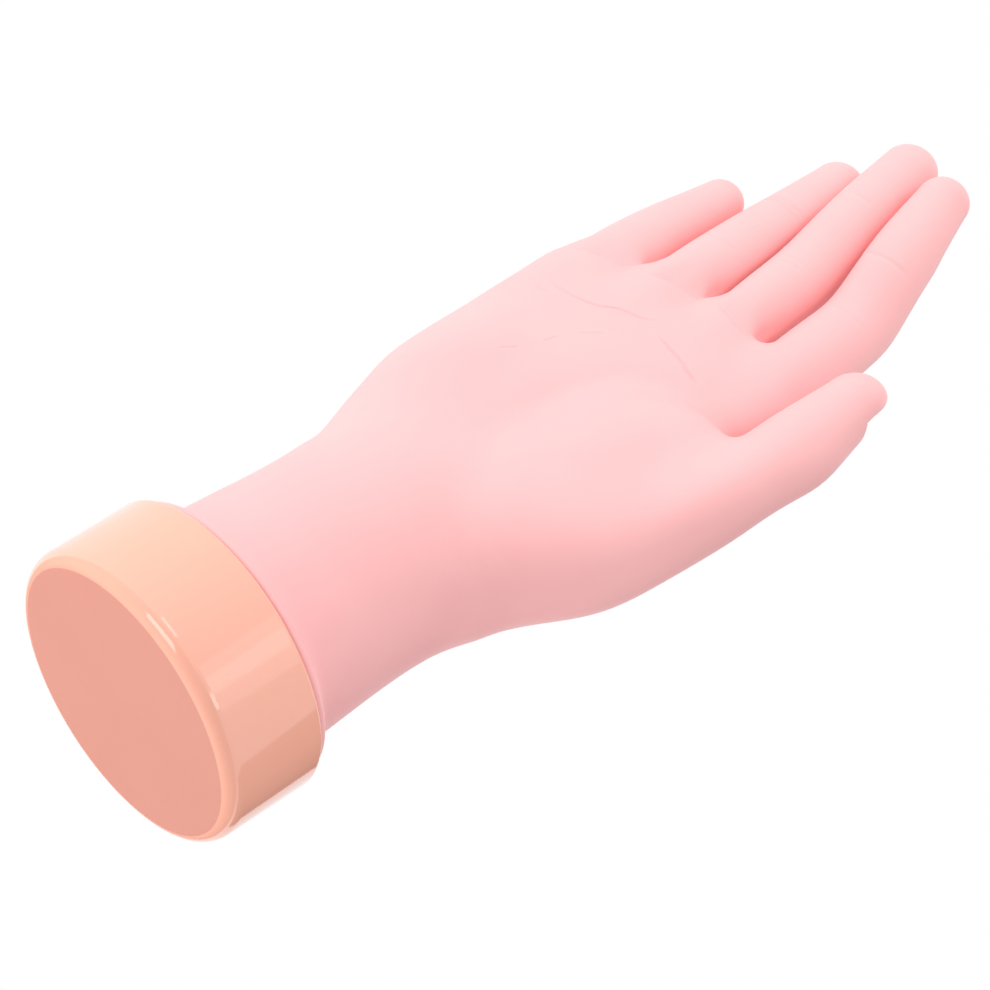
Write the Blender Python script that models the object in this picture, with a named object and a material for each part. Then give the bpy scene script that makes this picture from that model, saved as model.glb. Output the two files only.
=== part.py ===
# Nail practice hand: a soft right hand standing upright on a round base cap.
# Metres, +Z up along the hand, +X towards the thumb, -Y towards the palm.
# The origin is the centre of the flat face that the hand stands on.

import math

import bmesh
import bpy
import numpy as np
from mathutils import Matrix, Vector

# Clearances shared by all pieces, and how far a cutter runs past what it cuts
gap = 0.0003
cut_over = 0.002

# Base cap, a turned cup with a ledge inside its rim
cap_radius = 0.0335
cap_height = 0.0245
cap_wall = 0.0022
cap_floor = 0.003
cap_foot_inset = 0.0013
cap_foot_height = 0.0038
cap_rim_round = 0.0005
cap_ledge_depth = 0.0043
cap_ledge_width = 0.0018

# Wrist plug, a turned cup whose flange sits on the ledge of the cap
plug_flange = 0.0034
plug_wall = 0.0026
plug_rise = 0.0215

# Soft skin of the wrist and palm
wrist_radius = 0.0264
wrist_wall = 0.0033
wrist_top = 0.058
collar_inset = 0.0004
collar_height = 0.0022
collar_fillet = 0.0065
palm_half_width = 0.0362
palm_half_depth = 0.0134
palm_wall = 0.0046
web_height = 0.1705
palm_end_rise = 0.0105
palm_roof = 0.014
palm_top = web_height - palm_end_rise
palm_hollow_top = palm_top - palm_roof

# Sections up the palm: height as a share of the way from wrist_top to palm_top, sideways centre and
# half width as shares of palm_half_width, half depth as a share of the way from palm_half_depth (0)
# to wrist_radius (1), and the power that squares the outline
palm_section_shares = [
    (0.0, 0.0, 0.729, 0.96, 2.0),
    (0.1, 0.0, 0.742, 0.86, 2.05),
    (0.2, 0.008, 0.762, 0.72, 2.1),
    (0.31, 0.0, 0.825, 0.54, 2.15),
    (0.43, -0.033, 0.912, 0.35, 2.2),
    (0.57, -0.088, 0.972, 0.2, 2.3),
    (0.71, -0.108, 1.0, 0.09, 2.5),
    (0.86, -0.11, 1.0, 0.0, 2.6),
    (1.0, -0.094, 0.978, -0.07, 2.6),
]
# Rounded end of the palm under the finger webs: height as a share of the way from palm_top to
# web_height, half width and half depth as shares of those at palm_top
palm_end_shares = [(0.45, 0.955, 0.86), (0.8, 0.86, 0.62), (1.0, 0.74, 0.32)]
collar_flare_share = 0.35

# Balls of flesh in the palm: centre, then half width, half depth and half height, and tilt in degrees
thumb_ball = {"x": 0.020, "front": 0.008, "z": 0.106, "w": 0.014, "d": 0.012, "h": 0.032, "tilt": 20}
heel_ball = {"x": -0.021, "front": 0.005, "z": 0.100, "w": 0.012, "d": 0.0105, "h": 0.028, "tilt": -7}

# Fingers. Each starts beside its web, at a rise over web_height, and its three bones have the lengths
# given. lean and bend are the angles of each bone, sideways and towards the palm. round is the half
# width at the root, stub is how far the palm's own skin goes up the finger, and wire_x is where its
# wire lies under the clamp.
fingers = {
    "index": {
        "x": 0.0239, "front": -0.001, "rise": 0.0003, "lean": (-7.4, -13.9, -10.9), "bend": (2.3, 22.8, 11.8),
        "bones": (0.0231, 0.0209, 0.0162), "round": 0.0087, "stub": 0.0022, "wire_x": 0.0084,
        "shift": 0, "root_max": 50,
    },
    "middle": {
        "x": 0.0039, "front": 0.0004, "rise": 0.0023, "lean": (-4.7, -5.9, -4.1), "bend": (2.0, 13.0, 10.0),
        "bones": (0.0238, 0.0220, 0.0157), "round": 0.0087, "stub": 0.0022, "wire_x": 0.0,
        "shift": 0, "root_max": 50,
    },
    "ring": {
        "x": -0.0142, "front": 0.0019, "rise": 0.0013, "lean": (-0.5, -1.5, -2.5), "bend": (-2.0, -1.0, 3.0),
        "bones": (0.0212, 0.0192, 0.0129), "round": 0.0083, "stub": 0.0022, "wire_x": -0.0084,
        "shift": 0, "root_max": 50,
    },
    "little": {
        "x": -0.0312, "front": 0.0016, "rise": -0.0035, "lean": (1.3, 1.8, 1.8), "bend": (-1.3, -4.3, -0.3),
        "bones": (0.0135, 0.0118, 0.0094), "round": 0.0075, "stub": 0.0008, "wire_x": -0.0164,
        "shift": 0.0012, "root_max": 42,
    },
}
# Half sizes of a finger at its root, middle joint, last joint and tip, as shares of its round
side_shares = (1.0, 0.94, 0.86, 0.765)
pad_shares = (0.99, 0.89, 0.8, 0.71)
back_shares = (0.92, 0.87, 0.77, 0.61)
root_overlap = 0.016
joint_softness = 0.005

# Thumb, from deep in the palm to its tip, in the same terms but with four bones and a start at z
thumb = {
    "x": 0.0200, "front": -0.0010, "z": 0.0790, "lean": (38.7, 18.3, 8.6, 0.7), "bend": (3.3, 14.1, 5.4, 7.4),
    "bones": (0.0257, 0.0250, 0.0254, 0.0171), "round": 0.0130, "stub": 0.0632, "wire_x": 0.0164,
}
thumb_side_shares = (1.0, 1.03, 0.94, 0.74, 0.6)
thumb_pad_shares = (0.92, 0.88, 0.73, 0.65, 0.51)
thumb_back_shares = (0.85, 0.77, 0.69, 0.585, 0.4)
thumb_turn = 53
thumb_last_bone = 0.0208

# How far each knuckle bends to the palm, in degrees from straight
middle_max = 65
tip_max = 45
thumb_root_max = 38
thumb_tip_max = 45
knuckle_clear = 0.0006

# Nail bed, its length as a share of the half width there, and the pocket behind it for a false nail
nail_length_share = 1.55
nail_depth = 0.0012
nail_half_angle = 52
pocket_length = 0.0018
pocket_height = 0.0009
pocket_angle_inset = 6

# Wires, and what holds them in the palm
wire_radius = 0.0009
wire_end_length = 0.0045
wire_pull_share = 0.35
plate_half_width = 0.0195
plate_bottom = 0.078
plate_top = 0.108
plate_thickness = 0.005
stem_half_width = 0.008
stem_depth = 0.012
clamp_bottom = 0.084
clamp_height = 0.016
clamp_thickness = 0.003
clamp_end = 0.0018
clamp_screw_radius = 0.0013
clamp_screw_head = 0.0026
clamp_screw_cap = 0.0016
clamp_screw_bite = 0.004
base_screw_radius = 0.0019
base_screw_head = 0.0036
base_screw_cap = 0.0022
base_screw_bite = 0.013

# Fineness of the meshes
round_sides = 44
screw_sides = 12
palm_sides = 32
finger_sides = 12
wire_sides = 6
nail_steps = 5
line_step = 0.0005
finger_ring_step = 0.006
wire_ring_step = 0.008
skin_voxel = 0.0022
palm_faces_share = 0.11

cap_mix = ("cap_gloss", (0.905, 0.545, 0.420), 0.22, 0.0)
skin_mix = ("soft_skin", (0.955, 0.620, 0.600), 0.5, 0.0)
plug_mix = ("plug_plastic", (0.80, 0.80, 0.78), 0.5, 0.0)
frame_mix = ("frame_plastic", (0.74, 0.74, 0.72), 0.5, 0.0)
wire_mix = ("wire_metal", (0.78, 0.79, 0.80), 0.35, 1.0)
screw_mix = ("screw_steel", (0.62, 0.62, 0.63), 0.3, 1.0)


def material(mix):
    name, colour, roughness, metallic = mix
    found = bpy.data.materials.get(name)
    if found is None:
        found = bpy.data.materials.new(name)
        found.use_nodes = True
        shader = found.node_tree.nodes["Principled BSDF"]
        shader.inputs["Base Color"].default_value = (*colour, 1.0)
        shader.inputs["Roughness"].default_value = roughness
        shader.inputs["Metallic"].default_value = metallic
    return found


def new_object(name, bm, mix, smooth=True):
    """A named object from a bmesh, with its faces turned outwards. Without a mix it is a cutter."""
    bmesh.ops.recalc_face_normals(bm, faces=bm.faces)
    mesh = bpy.data.meshes.new(name)
    bm.to_mesh(mesh)
    bm.free()
    if smooth:
        mesh.shade_smooth()
        mesh.set_sharp_from_angle(angle=math.radians(35))
    obj = bpy.data.objects.new(name, mesh)
    bpy.context.scene.collection.objects.link(obj)
    if mix is None:
        obj.hide_render = True
        obj.display_type = "WIRE"
    else:
        mesh.materials.append(material(mix))
    return obj


def cut(obj, cutter, operation="DIFFERENCE", solver="EXACT"):
    modifier = obj.modifiers.new(cutter.name, "BOOLEAN")
    modifier.operation = operation
    modifier.solver = solver
    modifier.object = cutter


def hang_on(obj, hinge):
    """Parent a piece to its hinge's empty without moving it."""
    if hinge is not None:
        obj.parent = hinge
        obj.matrix_parent_inverse = hinge_places[hinge.name].inverted()


def skin_rings(bm, rings, closed=False):
    """Quads between rings of points. Open ends are closed with a face."""
    made = [[bm.verts.new(p) for p in ring] for ring in rings]
    count = len(made)
    for i in range(count if closed else count - 1):
        a, b = made[i], made[(i + 1) % count]
        for j in range(len(a)):
            k = (j + 1) % len(a)
            bm.faces.new((a[j], a[k], b[k], b[j]))
    if not closed:
        bm.faces.new(made[0][::-1])
        bm.faces.new(made[-1])


def turned(name, profile, mix, sides, closed=True):
    """A solid turned round +Z from (radius, height) points. An open profile ends on the axis."""
    bm = bmesh.new()
    points = [bm.verts.new((r, 0, z)) for r, z in profile]
    pairs = list(zip(points, points[1:]))
    if closed:
        pairs.append((points[-1], points[0]))
    edges = [bm.edges.new(pair) for pair in pairs]
    bmesh.ops.spin(
        bm, geom=points + edges, cent=(0, 0, 0), axis=(0, 0, 1), angle=2 * math.pi,
        steps=sides, use_merge=True,
    )
    bmesh.ops.remove_doubles(bm, verts=bm.verts, dist=gap / 30)
    bmesh.ops.dissolve_degenerate(bm, edges=bm.edges, dist=gap / 30)
    return new_object(name, bm, mix)


def block(name, low, high, mix):
    """A box between two corners."""
    bm = bmesh.new()
    bmesh.ops.create_cube(bm, size=1)
    for v in bm.verts:
        v.co = Vector([low[i] + (v.co[i] + 0.5) * (high[i] - low[i]) for i in range(3)])
    return new_object(name, bm, mix, smooth=False)


def round_points(radius, sides):
    angles = np.linspace(0, 2 * math.pi, sides, endpoint=False)
    return [Vector((radius * math.cos(a), radius * math.sin(a), 0)) for a in angles]


def rod(name, start, end, radius, mix):
    """A round bar with flat ends."""
    bm = bmesh.new()
    start, end = Vector(start), Vector(end)
    turn = (end - start).to_track_quat("Z", "Y")
    circle = [turn @ p for p in round_points(radius, screw_sides)]
    skin_rings(bm, [[start + p for p in circle], [end + p for p in circle]])
    return new_object(name, bm, mix)


def read_curve(x, xs, ys):
    """The value at x of a smooth curve through the points of a table."""
    xs, ys = np.asarray(xs, float), np.asarray(ys, float)
    slope = np.gradient(ys, xs)
    i = int(np.clip(np.searchsorted(xs, x) - 1, 0, len(xs) - 2))
    span = xs[i + 1] - xs[i]
    t = float(np.clip((x - xs[i]) / span, 0, 1))
    return ((2 * t**3 - 3 * t**2 + 1) * ys[i] + (t**3 - 2 * t**2 + t) * span * slope[i]
            + (3 * t**2 - 2 * t**3) * ys[i + 1] + (t**3 - t**2) * span * slope[i + 1])


class Digit:
    """The centreline and the sizes of a finger or the thumb, by the distance along it from its start."""

    def __init__(self, digit, height, shares, before=0, turn=0):
        lean, bend = np.radians(digit["lean"]), np.radians(digit["bend"])
        runs = np.stack([np.sin(lean) * np.cos(bend), -np.sin(bend), np.cos(lean) * np.cos(bend)], 1)
        points = [np.array([digit["x"], -digit["front"], height]) - runs[0] * before]
        for i, bone in enumerate(digit["bones"]):
            length = bone + (before if i == 0 else 0)
            count = max(2, round(length / line_step))
            for _ in range(count):
                points.append(points[-1] + runs[i] * length / count)
        points = np.array(points)
        wide = round(joint_softness / line_step)
        lead = np.arange(wide, 0, -1)[:, None]
        longer = np.concatenate([
            points[0] + (points[0] - points[1]) * lead,
            points,
            points[-1] + (points[-1] - points[-2]) * lead[::-1],
        ])
        weights = np.hanning(2 * wide + 3)[1:-1]
        weights /= weights.sum()
        self.line = np.stack([np.convolve(longer[:, k], weights, "valid") for k in range(3)], 1)
        steps = np.linalg.norm(np.diff(self.line, axis=0), axis=1)
        self.arc = np.concatenate([[0], np.cumsum(steps)]) - before
        self.first, self.last = self.arc[0], self.arc[-1]
        self.knots = [0, *np.cumsum(digit["bones"])]
        self.sizes = [np.array(share) * digit["round"] for share in shares]
        if before:
            self.knots = [self.first, *self.knots]
            self.sizes = [np.array([size[0], *size]) for size in self.sizes]
        self.turn = math.radians(turn)

    def at(self, s):
        return Vector([float(np.interp(s, self.arc, self.line[:, k])) for k in range(3)])

    def axes(self, s):
        """Directions along the digit, across its width, and out of its pad."""
        before, after = max(s - line_step, self.first), min(s + line_step, self.last)
        along = (self.at(after) - self.at(before)).normalized()
        flat = Vector((math.cos(self.turn), -math.sin(self.turn), 0))
        across = (flat - along * along.dot(flat)).normalized()
        return along, across, across.cross(along)

    def half(self, s):
        """Half the width, and half the depth on the pad side and on the back."""
        return [read_curve(s, self.knots, size) for size in self.sizes]

    def oval(self, s, side, front, back, shift=0.0):
        along, across, pad = self.axes(s)
        centre = self.at(s) + along * shift
        return [
            centre + across * side * math.cos(a) + pad * (front if math.sin(a) > 0 else back) * math.sin(a)
            for a in np.linspace(0, 2 * math.pi, finger_sides, endpoint=False)
        ]

    def ring(self, s, shift=0.0, scale=1.0):
        """The outline of the digit at one place."""
        side, front, back = self.half(s)
        return self.oval(s, side * scale, front * scale, back * scale, shift)

    def bore(self, s):
        """The outline of the hole for the wire."""
        return self.oval(s, wire_bore, wire_bore, wire_bore)

    def reach(self):
        """How far the rounded tip goes past the end of the last bone."""
        side, front, back = self.half(self.last)
        return (2 * side + front + back) / 4

    def end(self):
        return self.last + self.reach()

    def tip_rings(self):
        return [self.ring(self.last, shift=self.reach() * math.sin(a), scale=math.cos(a))
                for a in np.radians((22, 44, 64, 82))]


def spread(start, end, most):
    """Evenly spaced values from start to end, no more than most apart."""
    return np.linspace(start, end, max(2, math.ceil((end - start) / most) + 1))


def skin_length(name, digit, start, end):
    """A length of skin round the wire, open at both ends."""
    bm = bmesh.new()
    places = spread(start, end, finger_ring_step)
    skin_rings(bm, [digit.ring(s) for s in places] + [digit.bore(s) for s in places[::-1]], closed=True)
    return new_object(name, bm, skin_mix)


def fingertip(name, digit, start, bore_end):
    """The closed end of a digit, with a blind hole for the wire, a nail bed and its pocket."""
    bm = bmesh.new()
    rings = [digit.bore(s) for s in spread(start, bore_end, finger_ring_step)[::-1]]
    rings += [digit.ring(s) for s in spread(start, digit.last, finger_ring_step)]
    skin_rings(bm, rings + digit.tip_rings())
    tip = new_object(name, bm, skin_mix)
    cut(tip, nail_cutter(name + "_nail_cutter", digit))
    return tip


def nail_cutter(name, digit):
    """A curved slab over the back of a digit: thin in the pocket, then up through the skin over the bed."""
    fold = digit.end() - digit.half(digit.last)[0] * nail_length_share
    pocket = (pocket_height - nail_depth, nail_half_angle - pocket_angle_inset)
    bed = (cut_over, nail_half_angle)
    places = [(fold - pocket_length, 0, *pocket), (fold, 0, *pocket)]
    places += [(s, 0, *bed) for s in spread(fold, digit.last, finger_ring_step)]
    places.append((digit.last, digit.reach() + cut_over, *bed))
    rings = []
    for s, shift, lift, half_angle in places:
        along, across, pad = digit.axes(s)
        side, _, back = digit.half(s)
        angles = np.radians(np.linspace(-half_angle, half_angle, nail_steps))
        rows = [(-nail_depth, a) for a in angles] + [(lift, a) for a in angles[::-1]]
        centre = digit.at(s) + along * shift
        rings.append([
            centre + across * (side + rise) * math.sin(a) - pad * (back + rise) * math.cos(a)
            for rise, a in rows
        ])
    bm = bmesh.new()
    skin_rings(bm, rings)
    return new_object(name, bm, None)


def wire_length(name, points, radius, mix, dome_start=False, dome_end=False):
    """A round wire along points, with domed ends where it meets the next length at a knuckle."""
    bm = bmesh.new()
    points = [Vector(p) for p in points]
    circle = round_points(1, wire_sides)
    dome = [(radius * math.cos(a), radius * math.sin(a)) for a in np.radians((35, 70))]
    rings = []
    turn = (points[1] - points[0]).to_track_quat("Z", "Y")
    for i, point in enumerate(points):
        along = (points[min(i + 1, len(points) - 1)] - points[max(i - 1, 0)]).normalized()
        turn = (turn @ Vector((0, 0, 1))).rotation_difference(along) @ turn
        if i == 0 and dome_start:
            rings += [[point - along * rise + turn @ (p * wide) for p in circle] for wide, rise in dome[::-1]]
        rings.append([point + turn @ (p * radius) for p in circle])
        if i == len(points) - 1 and dome_end:
            rings += [[point + along * rise + turn @ (p * wide) for p in circle] for wide, rise in dome]
    skin_rings(bm, rings)
    return new_object(name, bm, mix)


def bent_run(start, start_way, end, end_way):
    """Points along a smooth bend that leaves start and reaches end along the two ways given."""
    pull = (end - start).length * wire_pull_share
    first, second = start + start_way * pull, end - end_way * pull
    turns = np.linspace(0, 1, max(2, math.ceil((end - start).length / wire_ring_step)) + 1)
    return [start * (1 - t)**3 + first * 3 * (1 - t)**2 * t + second * 3 * (1 - t) * t**2 + end * t**3
            for t in turns]


def palm_ring(height, centre, width, depth, power=2):
    """A squared oval across the wrist or palm."""
    ring = []
    for a in np.linspace(0, 2 * math.pi, palm_sides, endpoint=False):
        c, s = math.cos(a), math.sin(a)
        x = math.copysign(abs(c) ** (2 / power), c) * width
        y = math.copysign(abs(s) ** (2 / power), s) * depth
        ring.append(Vector((centre + x, y, height)))
    return ring


def round_ring(height, radius):
    return palm_ring(height, 0, radius, radius)


def palm_sections():
    """Height, centre, half width, half depth and power of each section up the palm."""
    return [
        (wrist_top + up * (palm_top - wrist_top), centre * palm_half_width, width * palm_half_width,
         palm_half_depth + depth * (wrist_radius - palm_half_depth), power)
        for up, centre, width, depth, power in palm_section_shares
    ]


def add_ball(bm, flesh):
    """A ball of flesh under the palm's skin."""
    tilt = math.radians(flesh["tilt"])
    for v in bmesh.ops.create_icosphere(bm, subdivisions=3, radius=1)["verts"]:
        x, y, z = v.co.x * flesh["w"], v.co.y * flesh["d"], v.co.z * flesh["h"]
        v.co = Vector((flesh["x"] + x * math.cos(tilt) + z * math.sin(tilt), y - flesh["front"],
                       flesh["z"] - x * math.sin(tilt) + z * math.cos(tilt)))


def knuckle_half(digit, s, most):
    """Half the length of the soft band at a knuckle, so that the firm lengths beside it never meet."""
    return digit.half(s)[1] * math.tan(math.radians(most) / 2) + knuckle_clear


def end_block(name, digit, s):
    """A block that takes away all of a digit past a flat cut square to it."""
    along, across, pad = digit.axes(s)
    size = digit.half(s)[0] + knuckle_clear
    corners = [across * i * size + pad * j * size * 1.5 for i, j in ((-1, -1), (1, -1), (1, 1), (-1, 1))]
    bm = bmesh.new()
    skin_rings(bm, [[digit.at(s) + along * up + c for c in corners] for up in (0, size * 2)])
    return new_object(name, bm, None, smooth=False)


def add_hinge(name, digit, s, parent):
    """An empty on a knuckle's axis, with its X axis across the digit."""
    along, across, pad = digit.axes(s)
    place = Matrix((across, -pad, along)).transposed().to_4x4()
    place.translation = digit.at(s)
    hinge = bpy.data.objects.new(name, None)
    hinge.matrix_world = place
    bpy.context.scene.collection.objects.link(hinge)
    hinge_places[name] = place
    if parent is not None:
        hinge.parent = parent
        hinge.matrix_parent_inverse = hinge_places[parent.name].inverted()
    return hinge


for old in list(bpy.data.objects):
    bpy.data.objects.remove(old)

hinge_places = {}
wire_bore = wire_radius + gap

# Base cap
cap_inner = cap_radius - cap_wall
ledge_height = cap_height - cap_ledge_depth
turned("base_cap", [
    (0, 0),
    (cap_radius - cap_foot_inset, 0),
    (cap_radius - cap_foot_inset * 0.45, cap_foot_height * 0.2),
    (cap_radius - cap_foot_inset * 0.15, cap_foot_height * 0.5),
    (cap_radius, cap_foot_height),
    (cap_radius, cap_height - cap_rim_round),
    (cap_radius - cap_rim_round, cap_height),
    (cap_inner, cap_height),
    (cap_inner, ledge_height),
    (cap_inner - cap_ledge_width, ledge_height),
    (cap_inner - cap_ledge_width, cap_floor),
    (0, cap_floor),
], cap_mix, round_sides, closed=False)

# Wrist plug
plug_radius = wrist_radius - wrist_wall - gap
plug_bottom = ledge_height + gap
plug_top = plug_bottom + plug_flange + plug_rise
screw_hole = base_screw_radius + gap
turned("wrist_plug", [
    (screw_hole, plug_top),
    (screw_hole, plug_top - plug_wall),
    (plug_radius - plug_wall, plug_top - plug_wall),
    (plug_radius - plug_wall, plug_bottom),
    (cap_inner - gap, plug_bottom),
    (cap_inner - gap, plug_bottom + plug_flange),
    (plug_radius, plug_bottom + plug_flange),
    (plug_radius, plug_top),
], plug_mix, palm_sides)

# Digits and the knuckles along each: name, place of the axis, and the most it bends
digits = {}
knuckles = {}
for name, data in fingers.items():
    line = Digit(data, web_height + data["rise"], (side_shares, pad_shares, back_shares), root_overlap)
    middle, tip = data["bones"][0] + data["shift"], sum(data["bones"][:2])
    root = data["stub"] + knuckle_half(line, data["stub"], data["root_max"])
    digits[name] = line
    knuckles[name] = [("root", root, data["root_max"]), ("middle", middle, middle_max), ("tip", tip, tip_max)]
thumb_sizes = (thumb_side_shares, thumb_pad_shares, thumb_back_shares)
line = Digit(thumb, thumb["z"], thumb_sizes, turn=thumb_turn)
root = thumb["stub"] + knuckle_half(line, thumb["stub"], thumb_root_max)
digits["thumb"] = line
knuckles["thumb"] = [("root", root, thumb_root_max), ("tip", line.end() - thumb_last_bone, thumb_tip_max)]

# Palm skin: collar, wrist, palm, balls of flesh and the roots of the digits, run into one soft shape
collar_radius = cap_radius - collar_inset
collar_bottom = cap_height + gap
collar_top = collar_bottom + collar_height
flare = (collar_radius - wrist_radius) * collar_flare_share
fillet_turns = np.radians((0, 22, 45, 67))
foot = [round_ring(collar_bottom - cut_over, collar_radius), round_ring(collar_top, collar_radius)]
foot += [round_ring(collar_top + collar_fillet * math.sin(a) / 2, wrist_radius + flare * (1 - math.sin(a)))
         for a in fillet_turns]
foot.append(round_ring(collar_top + collar_fillet, wrist_radius))
sections = palm_sections()
_, top_centre, top_width, top_depth, top_power = sections[-1]
ends = [palm_ring(palm_top + up * (web_height - palm_top), top_centre, top_width * width, top_depth * depth,
                  top_power) for up, width, depth in palm_end_shares]
bm = bmesh.new()
skin_rings(bm, foot + [palm_ring(*section) for section in sections] + ends)
for flesh in (thumb_ball, heel_ball):
    add_ball(bm, flesh)
for name, line in digits.items():
    stub = (thumb if name == "thumb" else fingers[name])["stub"]
    skin_rings(bm, [line.ring(s) for s in spread(line.first, stub + cut_over, finger_ring_step)])
palm_skin = new_object("palm_skin", bm, skin_mix)
together = palm_skin.modifiers.new("run_together", "REMESH")
together.mode = "VOXEL"
together.voxel_size = skin_voxel
soften = palm_skin.modifiers.new("soften", "SMOOTH")
soften.factor = 0.5
soften.iterations = 5
fewer = palm_skin.modifiers.new("fewer_faces", "DECIMATE")
fewer.ratio = palm_faces_share

wide = 2 * collar_radius
cut(palm_skin, block("collar_foot_cutter", (-wide, -wide, -wide), (wide, wide, collar_bottom), None),
    solver="MANIFOLD")
wrist_bore = wrist_radius - wrist_wall
hollow = [round_ring(collar_bottom - cut_over, wrist_bore), round_ring(plug_top + gap, wrist_bore)]
for height, centre, width, depth, power in sections[1:-1]:
    height = min(height, palm_hollow_top)
    hollow.append(palm_ring(height, centre, width - palm_wall, depth - palm_wall, power))
bm = bmesh.new()
skin_rings(bm, hollow)
cut(palm_skin, new_object("palm_hollow_cutter", bm, None), solver="MANIFOLD")

# Wire plate on its stem, in the palm's hollow
plate_front = wire_radius + gap
palm_frame = block("palm_frame", (-plate_half_width, plate_front, plate_bottom),
                   (plate_half_width, plate_front + plate_thickness, plate_top), frame_mix)
cut(palm_frame, block("stem_tool", (-stem_half_width, -stem_depth / 2, plug_top + gap),
                      (stem_half_width, stem_depth / 2, plate_bottom + cut_over), None), "UNION")
cut(palm_frame, rod("stem_hole_tool", (0, 0, plug_top - cut_over),
                    (0, 0, plug_top + base_screw_bite + gap), screw_hole, None))
turned("base_screw", [
    (0, plug_top + base_screw_bite),
    (base_screw_radius, plug_top + base_screw_bite),
    (base_screw_radius, plug_top - plug_wall - gap),
    (base_screw_head, plug_top - plug_wall - gap),
    (base_screw_head, plug_top - plug_wall - gap - base_screw_cap),
    (0, plug_top - plug_wall - gap - base_screw_cap),
], screw_mix, screw_sides, closed=False)

# Clamp over the wires, and its two screws
clamp_back = -wire_radius - gap
clamp_front = clamp_back - clamp_thickness
clamp_reach = wire_radius + clamp_end
clamp_middle = clamp_bottom + clamp_height / 2
wire_clamp = block("wire_clamp", (fingers["little"]["wire_x"] - clamp_reach, clamp_front, clamp_bottom),
                   (thumb["wire_x"] + clamp_reach, clamp_back, clamp_bottom + clamp_height), frame_mix)
screw_end = plate_front + clamp_screw_bite
screw_pairs = [("little", "ring"), ("middle", "index")]
for number, (left, right) in enumerate(screw_pairs, 1):
    x = (fingers[left]["wire_x"] + fingers[right]["wire_x"]) / 2
    hole = clamp_screw_radius + gap
    cut(wire_clamp, rod(f"clamp_hole_tool_{number}", (x, clamp_front - cut_over, clamp_middle),
                        (x, 0, clamp_middle), hole, None))
    cut(palm_frame, rod(f"plate_hole_tool_{number}", (x, 0, clamp_middle),
                        (x, screw_end + gap, clamp_middle), hole, None))
    screw = rod(f"clamp_screw_{number}", (x, clamp_front - gap - clamp_screw_cap / 2, clamp_middle),
                (x, screw_end, clamp_middle), clamp_screw_radius, screw_mix)
    cut(screw, rod(f"clamp_head_tool_{number}", (x, clamp_front - gap - clamp_screw_cap, clamp_middle),
                   (x, clamp_front - gap, clamp_middle), clamp_screw_head, None), "UNION")

# Skin, wires and hinges of each digit. The palm's skin ends at the first soft band. After each band
# comes a firm length of skin that turns with the wire inside it.
for name, line in digits.items():
    data = thumb if name == "thumb" else fingers[name]
    bends = knuckles[name]
    lengths = ["lower", "tip"] if name == "thumb" else ["lower", "middle", "tip"]
    halves = [knuckle_half(line, s, most) for _, s, most in bends]
    halves[0] = bends[0][1] - data["stub"]
    cut(palm_skin, end_block(f"{name}_root_cutter", line, data["stub"]), solver="MANIFOLD")
    join = sum(thumb["bones"][:2]) if name == "thumb" else line.first + root_overlap / 4
    wire_end = bends[-1][1] + halves[-1] + wire_end_length
    lead = wire_radius / math.cos(math.radians(max(most for _, _, most in bends)) / 2) + gap / 3

    clamp_run = clamp_end if name == "thumb" else 0
    under = Vector((data["wire_x"], 0, clamp_bottom + clamp_end))
    over = Vector((data["wire_x"] + clamp_run, 0, clamp_bottom + clamp_height))
    path = [under] + bent_run(over, (over - under).normalized(), line.at(join), line.axes(join)[0])
    path += [line.at(s) for s in spread(join, bends[0][1] - lead, wire_ring_step)[1:]]
    wire_length(f"{name}_wire_root", path, wire_radius, wire_mix, dome_end=True)
    tunnel = path + [line.at(bends[0][1] + lead)]
    cut(palm_skin, wire_length(f"{name}_tunnel_cutter", tunnel, wire_bore, None), solver="MANIFOLD")

    hinge = None
    for i, (joint, s, most) in enumerate(bends):
        last = i == len(bends) - 1
        low, high = s - halves[i], s + halves[i]
        hang_on(skin_length(f"{name}_{joint}_knuckle", line, low + gap, high - gap), hinge)
        hinge = add_hinge(f"{name}_{joint}_hinge", line, s, hinge)
        if last:
            skin = fingertip(f"{name}_{lengths[i]}_skin", line, high, wire_end + gap)
            wire_stop = wire_end
        else:
            skin = skin_length(f"{name}_{lengths[i]}_skin", line, high, bends[i + 1][1] - halves[i + 1])
            wire_stop = bends[i + 1][1] - lead
        hang_on(skin, hinge)
        run = [line.at(t) for t in spread(s + lead, wire_stop, wire_ring_step)]
        hang_on(wire_length(f"{name}_wire_{lengths[i]}", run, wire_radius, wire_mix, True, not last), hinge)
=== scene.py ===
import math

import bmesh
import bpy
import numpy as np
import openvdb
from mathutils import Matrix, Vector


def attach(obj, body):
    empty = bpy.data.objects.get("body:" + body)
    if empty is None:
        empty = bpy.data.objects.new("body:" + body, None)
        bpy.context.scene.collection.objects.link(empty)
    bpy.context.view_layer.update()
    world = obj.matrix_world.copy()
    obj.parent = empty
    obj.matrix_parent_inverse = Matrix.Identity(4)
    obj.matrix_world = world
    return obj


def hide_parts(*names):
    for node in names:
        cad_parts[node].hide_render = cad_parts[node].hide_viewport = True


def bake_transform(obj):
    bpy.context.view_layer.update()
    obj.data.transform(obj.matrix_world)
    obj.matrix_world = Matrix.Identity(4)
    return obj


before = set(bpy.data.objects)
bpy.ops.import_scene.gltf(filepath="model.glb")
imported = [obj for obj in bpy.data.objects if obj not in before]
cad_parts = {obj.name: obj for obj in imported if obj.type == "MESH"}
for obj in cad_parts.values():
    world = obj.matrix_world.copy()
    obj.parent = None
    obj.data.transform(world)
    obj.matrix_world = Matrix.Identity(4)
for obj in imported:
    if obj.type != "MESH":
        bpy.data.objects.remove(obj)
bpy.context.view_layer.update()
mm = 0.001  # the skin's measures below are in millimetres
scene = bpy.context.scene
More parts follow.
